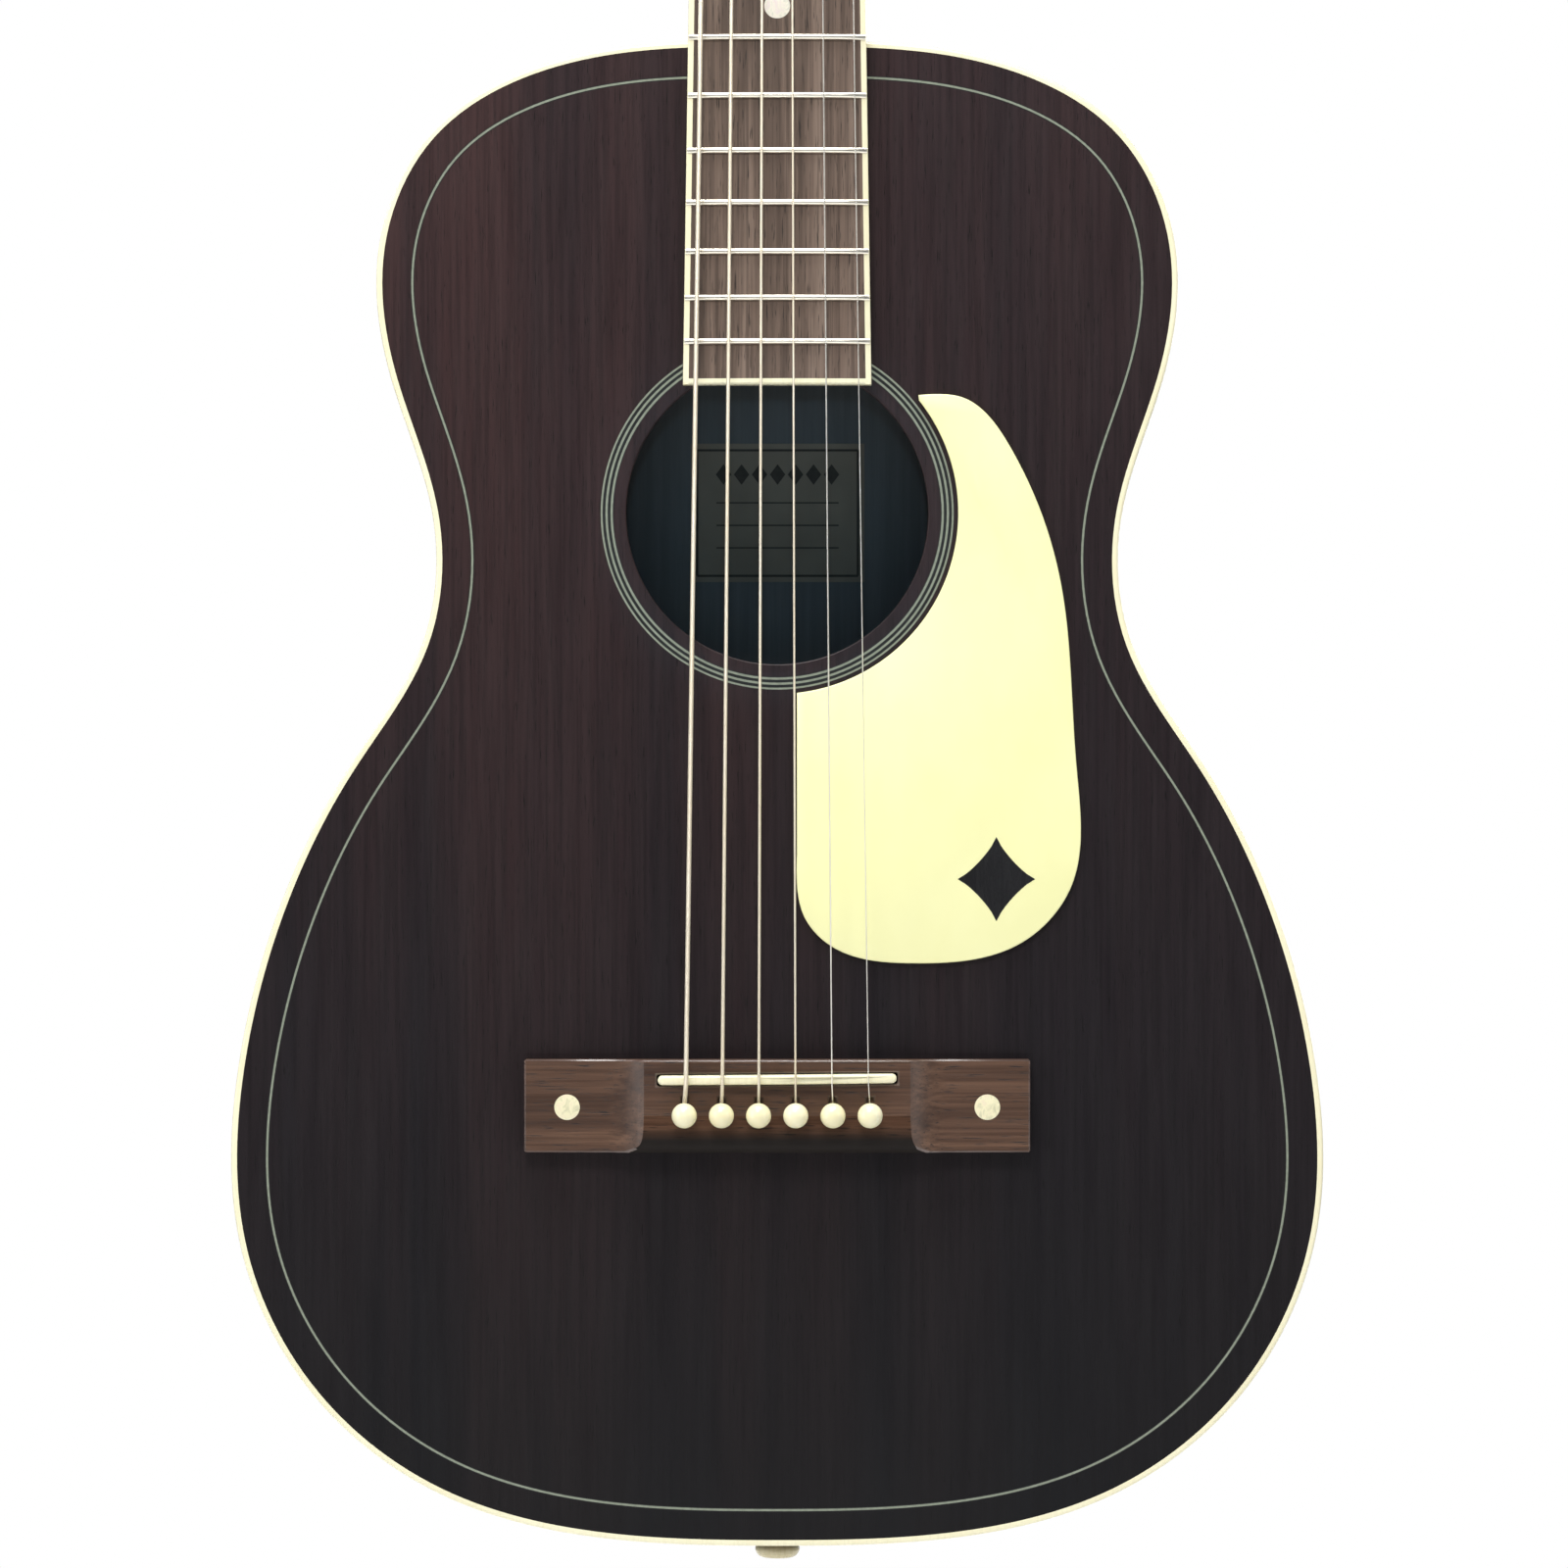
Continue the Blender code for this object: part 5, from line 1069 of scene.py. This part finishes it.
def posts():
    """Turned posts with their string holes, gears, gear screws, and the bushings they turn in."""
    bottom = WORM_N - 2.6 * MM
    cap = in_mm((0, 17), (2.3, 17), (2.75, 16.8), (3, 16.4), (3, 14.4), (2.85, 14.1), (2.5, 13.5))
    barrel = in_mm((2.45, 8.2), (2.6, 7.4), (3, 6.5))
    foot = [(3 * MM, bottom + 0.5 * MM), (2.7 * MM, bottom), (0, bottom)]
    bore = turned(in_mm((0, 6), (0.85, 6), (0.85, -6), (0, -6)), 16)
    bore.transform(moved(0, 0, 12 * MM) @ spun(pi / 2, "Y"))
    post = carved(turned(cap + barrel + foot, 32), bore)
    gear = gear_mesh()
    screw = slotted_screw(2.3 * MM, 0.9 * MM)
    screw.transform(moved(0, 0, bottom) @ spun(pi, "X"))
    ring = in_mm((3.35, 0.02), (5.6, 0.02), (5.5, 0.7), (4.9, 1.3), (4.2, 1.6), (3.5, 1.6), (3.35, 1.4))
    for string in STRINGS:
        here = HEAD @ moved(*post_place(string), 0)
        body = f"post_{string}"
        piece(f"{body}_turned", post.copy(), "nickel", here, body, [f"tuner_{body}"])
        eased(piece(f"gear_{string}", gear.copy(), "brass", here, body), 0.12 * MM)
        piece(f"gear_screw_{string}", screw.copy(), "nickel", here, body)
        piece(f"bushing_{string}", turned(ring, 40), "nickel", here)
        string_end(string, here, body)


def string_end(string, here, body):
    """The string's trimmed end, through the post's hole and bent up a little."""
    side = 1 if string <= 3 else -1
    route = in_mm((-3.2, 0, 12), (3.3, 0, 12), (4.6, 0.2, 12.3), (5.4, 0.6, 13.4), (5.6, 0.8, 14.8))
    path = [(side * x, y, z) for x, y, z in route]
    radius = STRING_DIAMETERS[string - 1] / 2
    rounding = {"bevel_depth": radius, "bevel_resolution": 3, "use_fill_caps": True}
    mesh = curve_mesh([path], False, dimensions="3D", **rounding)
    material = wire(string)
    piece(f"string_{string}_end", mesh, material, here, body, angle=75)


def worm_mesh():
    """The worm's thread as a skin of cross sections along its helix."""
    turns, steps = 3, 28
    root, tip = WORM_PITCH_RADIUS - 1.15 * MM, WORM_PITCH_RADIUS + 0.65 * MM
    section = both_flanks([(root, 0.8), (tip - 0.12 * MM, 0.34), (tip, 0.2)])
    start = -WORM_PITCH * turns / 2
    loops = []
    for i in range(turns * steps + 1):
        angle = 2 * pi * i / steps
        z = start + WORM_PITCH * i / steps
        loops.append([(*polar(radius, angle), z + half * MM) for radius, half in section])
    return skin(loops)


def knobs():
    """Each tuner's shaft with its worm, and a waisted oval button with a ferrule."""
    ferrule = in_mm((0, 20), (1.9, 20), (2.3, 19.6), (2.3, 18.2), (1.9, 17.7), (1.9, 17.3), (1.4, 16.9))
    stem = in_mm((1.4, 5.7), (1.7, 5.2), (1.7, -5.2), (1.4, -5.7), (1.4, -7.7), (1.1, -8), (0, -8))
    for string in STRINGS:
        x, u = post_place(string)
        outward = Vector((copysign(1, x), 0, 0))
        to_gear = Vector((0, 1, 0))
        turn = Matrix((to_gear, outward.cross(to_gear), outward)).transposed().to_4x4()
        here = HEAD @ moved(x, u - WORM_DISTANCE, WORM_N) @ turn
        body = f"knob_{string}"
        metalwork = joined([turned(ferrule + stem, 28), worm_mesh()])
        piece(f"{body}_shaft", metalwork, "nickel", here, body)
        piece(f"{body}_button", button_mesh(), "cream", here, body, [f"tuner_{body}"], 60)


def button_mesh():
    """A flattened oval grip, a little pinched where it meets the ferrule."""
    loops = []
    for angle in spaced(0, pi, 16)[1:-1]:
        z = 25.5 * MM - 6.4 * MM * cos(angle)
        swell = sin(angle) ** 0.8
        loop = []
        for x, y in circle(1, count=40):
            wide = 8.6 * MM * swell * copysign(abs(x) ** 0.9, x)
            thick = 4.1 * MM * swell * copysign(abs(y) ** 0.75, y)
            loop.append((wide, thick, z))
        loops.append(loop)
    return skin(loops)


def plates():
    """The tuner plates with their screws, and the screws of the truss rod cover."""
    behind = -HEAD_THICKNESS - 1.5 * MM
    first_u = FIRST_POST_U - WORM_DISTANCE - 5.6 * MM
    last_u = FIRST_POST_U + 2 * POST_PITCH + 8.4 * MM
    spots = [(POST_X - 5 * MM, first_u), (POST_X + 5 * MM, first_u)]
    spots += [(POST_X, FIRST_POST_U + step * POST_PITCH + 14.5 * MM) for step in (0, 1)]
    spots += [(POST_X - 5.4 * MM, last_u), (POST_X + 5.4 * MM, last_u)]
    for word, side in SIDES:
        refined(f"tuner_plate_{word}", "nickel", 0.25 * MM, 2, 38)
        for number, (x, u) in enumerate(spots, 1):
            place = HEAD @ moved(side * x, u, behind) @ spun(pi, "X")
            turn = spun(0.7 * number, "Z")
            screw = slotted_screw(1.6 * MM, 0.8 * MM)
            piece(f"plate_screw_{word}_{number}", screw, "nickel", place @ turn)
    for number, (x, u) in enumerate(in_mm((0, 34.5), (-7.6, 4.4), (7.6, 4.4)), 1):
        place = HEAD @ moved(x, u, 1.9 * MM) @ spun(0.9 * number, "Z")
        piece(f"cover_screw_{number}", slotted_screw(1.5 * MM, 0.6 * MM), "nickel", place)


# ---- stage, light and camera


def aim(obj, place, target):
    obj.location = place
    obj.rotation_mode = "QUATERNION"
    obj.rotation_quaternion = (Vector(target) - Vector(place)).to_track_quat("-Z", "Y")


def lamp(name, kind, place, target, power, colour, **settings):
    light = bpy.data.lights.new(name, kind)
    light.energy = power
    light.color = colour
    for key, value in settings.items():
        setattr(light, key, value)
    obj = added(name, light)
    obj.visible_camera = False
    aim(obj, place, target)


def area_light(name, place, target, width, height, power, colour=(1, 1, 1)):
    lamp(name, "AREA", place, target, power, colour, shape="RECTANGLE", size=width, size_y=height)


def stage():
    bm = bmesh.new()
    bmesh.ops.create_cone(bm, cap_ends=True, segments=160, radius1=1.8, radius2=1.8, depth=0.02)
    bm.transform(moved(0, 0, -0.31))
    floor = added("floor", mesh_of(bm))
    kit = Nodes("pale_floor")
    tone = kit.noise((3, 3, 3), detail=2)
    floor.data.materials.append(kit.finish(kit.fade(tone, 0.3, 0.7, 0.84, 0.88), 0.8))


def world():
    """White behind everything the camera sees, and a dim even room for what the guitar reflects."""
    kit = Nodes("studio", bpy.data.worlds)
    bpy.context.scene.world = kit.owner
    room = kit.tree.nodes["Background"]
    kit.feed(room.inputs["Color"], (0.93, 0.97, 1.0))
    kit.feed(room.inputs["Strength"], 0.1)
    white = kit.node("Background", 0, {"Color": (1, 1, 1)})
    seen = kit.node("LightPath", "Is Camera Ray", {})
    both = kit.node("MixShader", 0, {0: seen, 1: room.outputs[0], 2: white})
    kit.feed(kit.tree.nodes["World Output"].inputs["Surface"], both)


def lights():
    body = (0, 0, 0.28)
    area_light("key_above", (-0.3, -1.3, 1.75), body, 0.9, 0.5, 24, (1.0, 0.99, 0.97))
    area_light("overhead", (0, -0.45, 2.1), (0, -0.05, 0.3), 1.2, 0.4, 34)
    area_light("side_left", (-1.9, -1.1, 0.55), body, 0.6, 2.0, 17)
    area_light("side_right", (1.9, -1.1, 0.55), body, 0.6, 2.0, 10)
    # A weak, cool snoot that only reaches through the sound hole.
    place, hole = (2 * MM, -1.45, HOLE_Y), (0, -TOP_Z, HOLE_Y)
    beam = {"spot_size": radians(3.7), "spot_blend": 0.25, "shadow_soft_size": 0.02}
    lamp("sound_hole_snoot", "SPOT", place, hole, 7.5, (0.55, 0.8, 1.0), **beam)
    area_light("back_left", (-1.4, 1.8, 1.6), (0, 0, 0.4), 1.2, 1.2, 34)
    area_light("back_right", (1.5, 1.9, 0.9), (0, 0, 0.4), 1.0, 1.6, 26)


def camera():
    """Straight on, a metre and a half in front of the soundboard, with the body filling the frame."""
    data = bpy.data.cameras.new("camera")
    distance = 1.5
    seen_width = 461.8 * MM
    data.sensor_width = 36
    data.lens = data.sensor_width * distance / seen_width
    obj = added("camera", data)
    target = (2 * MM, -TOP_Z, TAIL_Y + 224.5 * MM)
    aim(obj, (target[0], -TOP_Z - distance, target[2]), target)
    bpy.context.scene.camera = obj
    bpy.context.scene.view_settings.view_transform = "Standard"


# ---- the whole guitar

soundboard()
top_lines()
bindings()
back()
ribs()
inside()
pickguard()
bridge()
saddle()
bridge_pins()
strap_button()
neck()
fingerboard()
refined("nut", "ivory", 0.2 * MM)
strings()
posts()
knobs()
plates()
stage()
world()
lights()
camera()
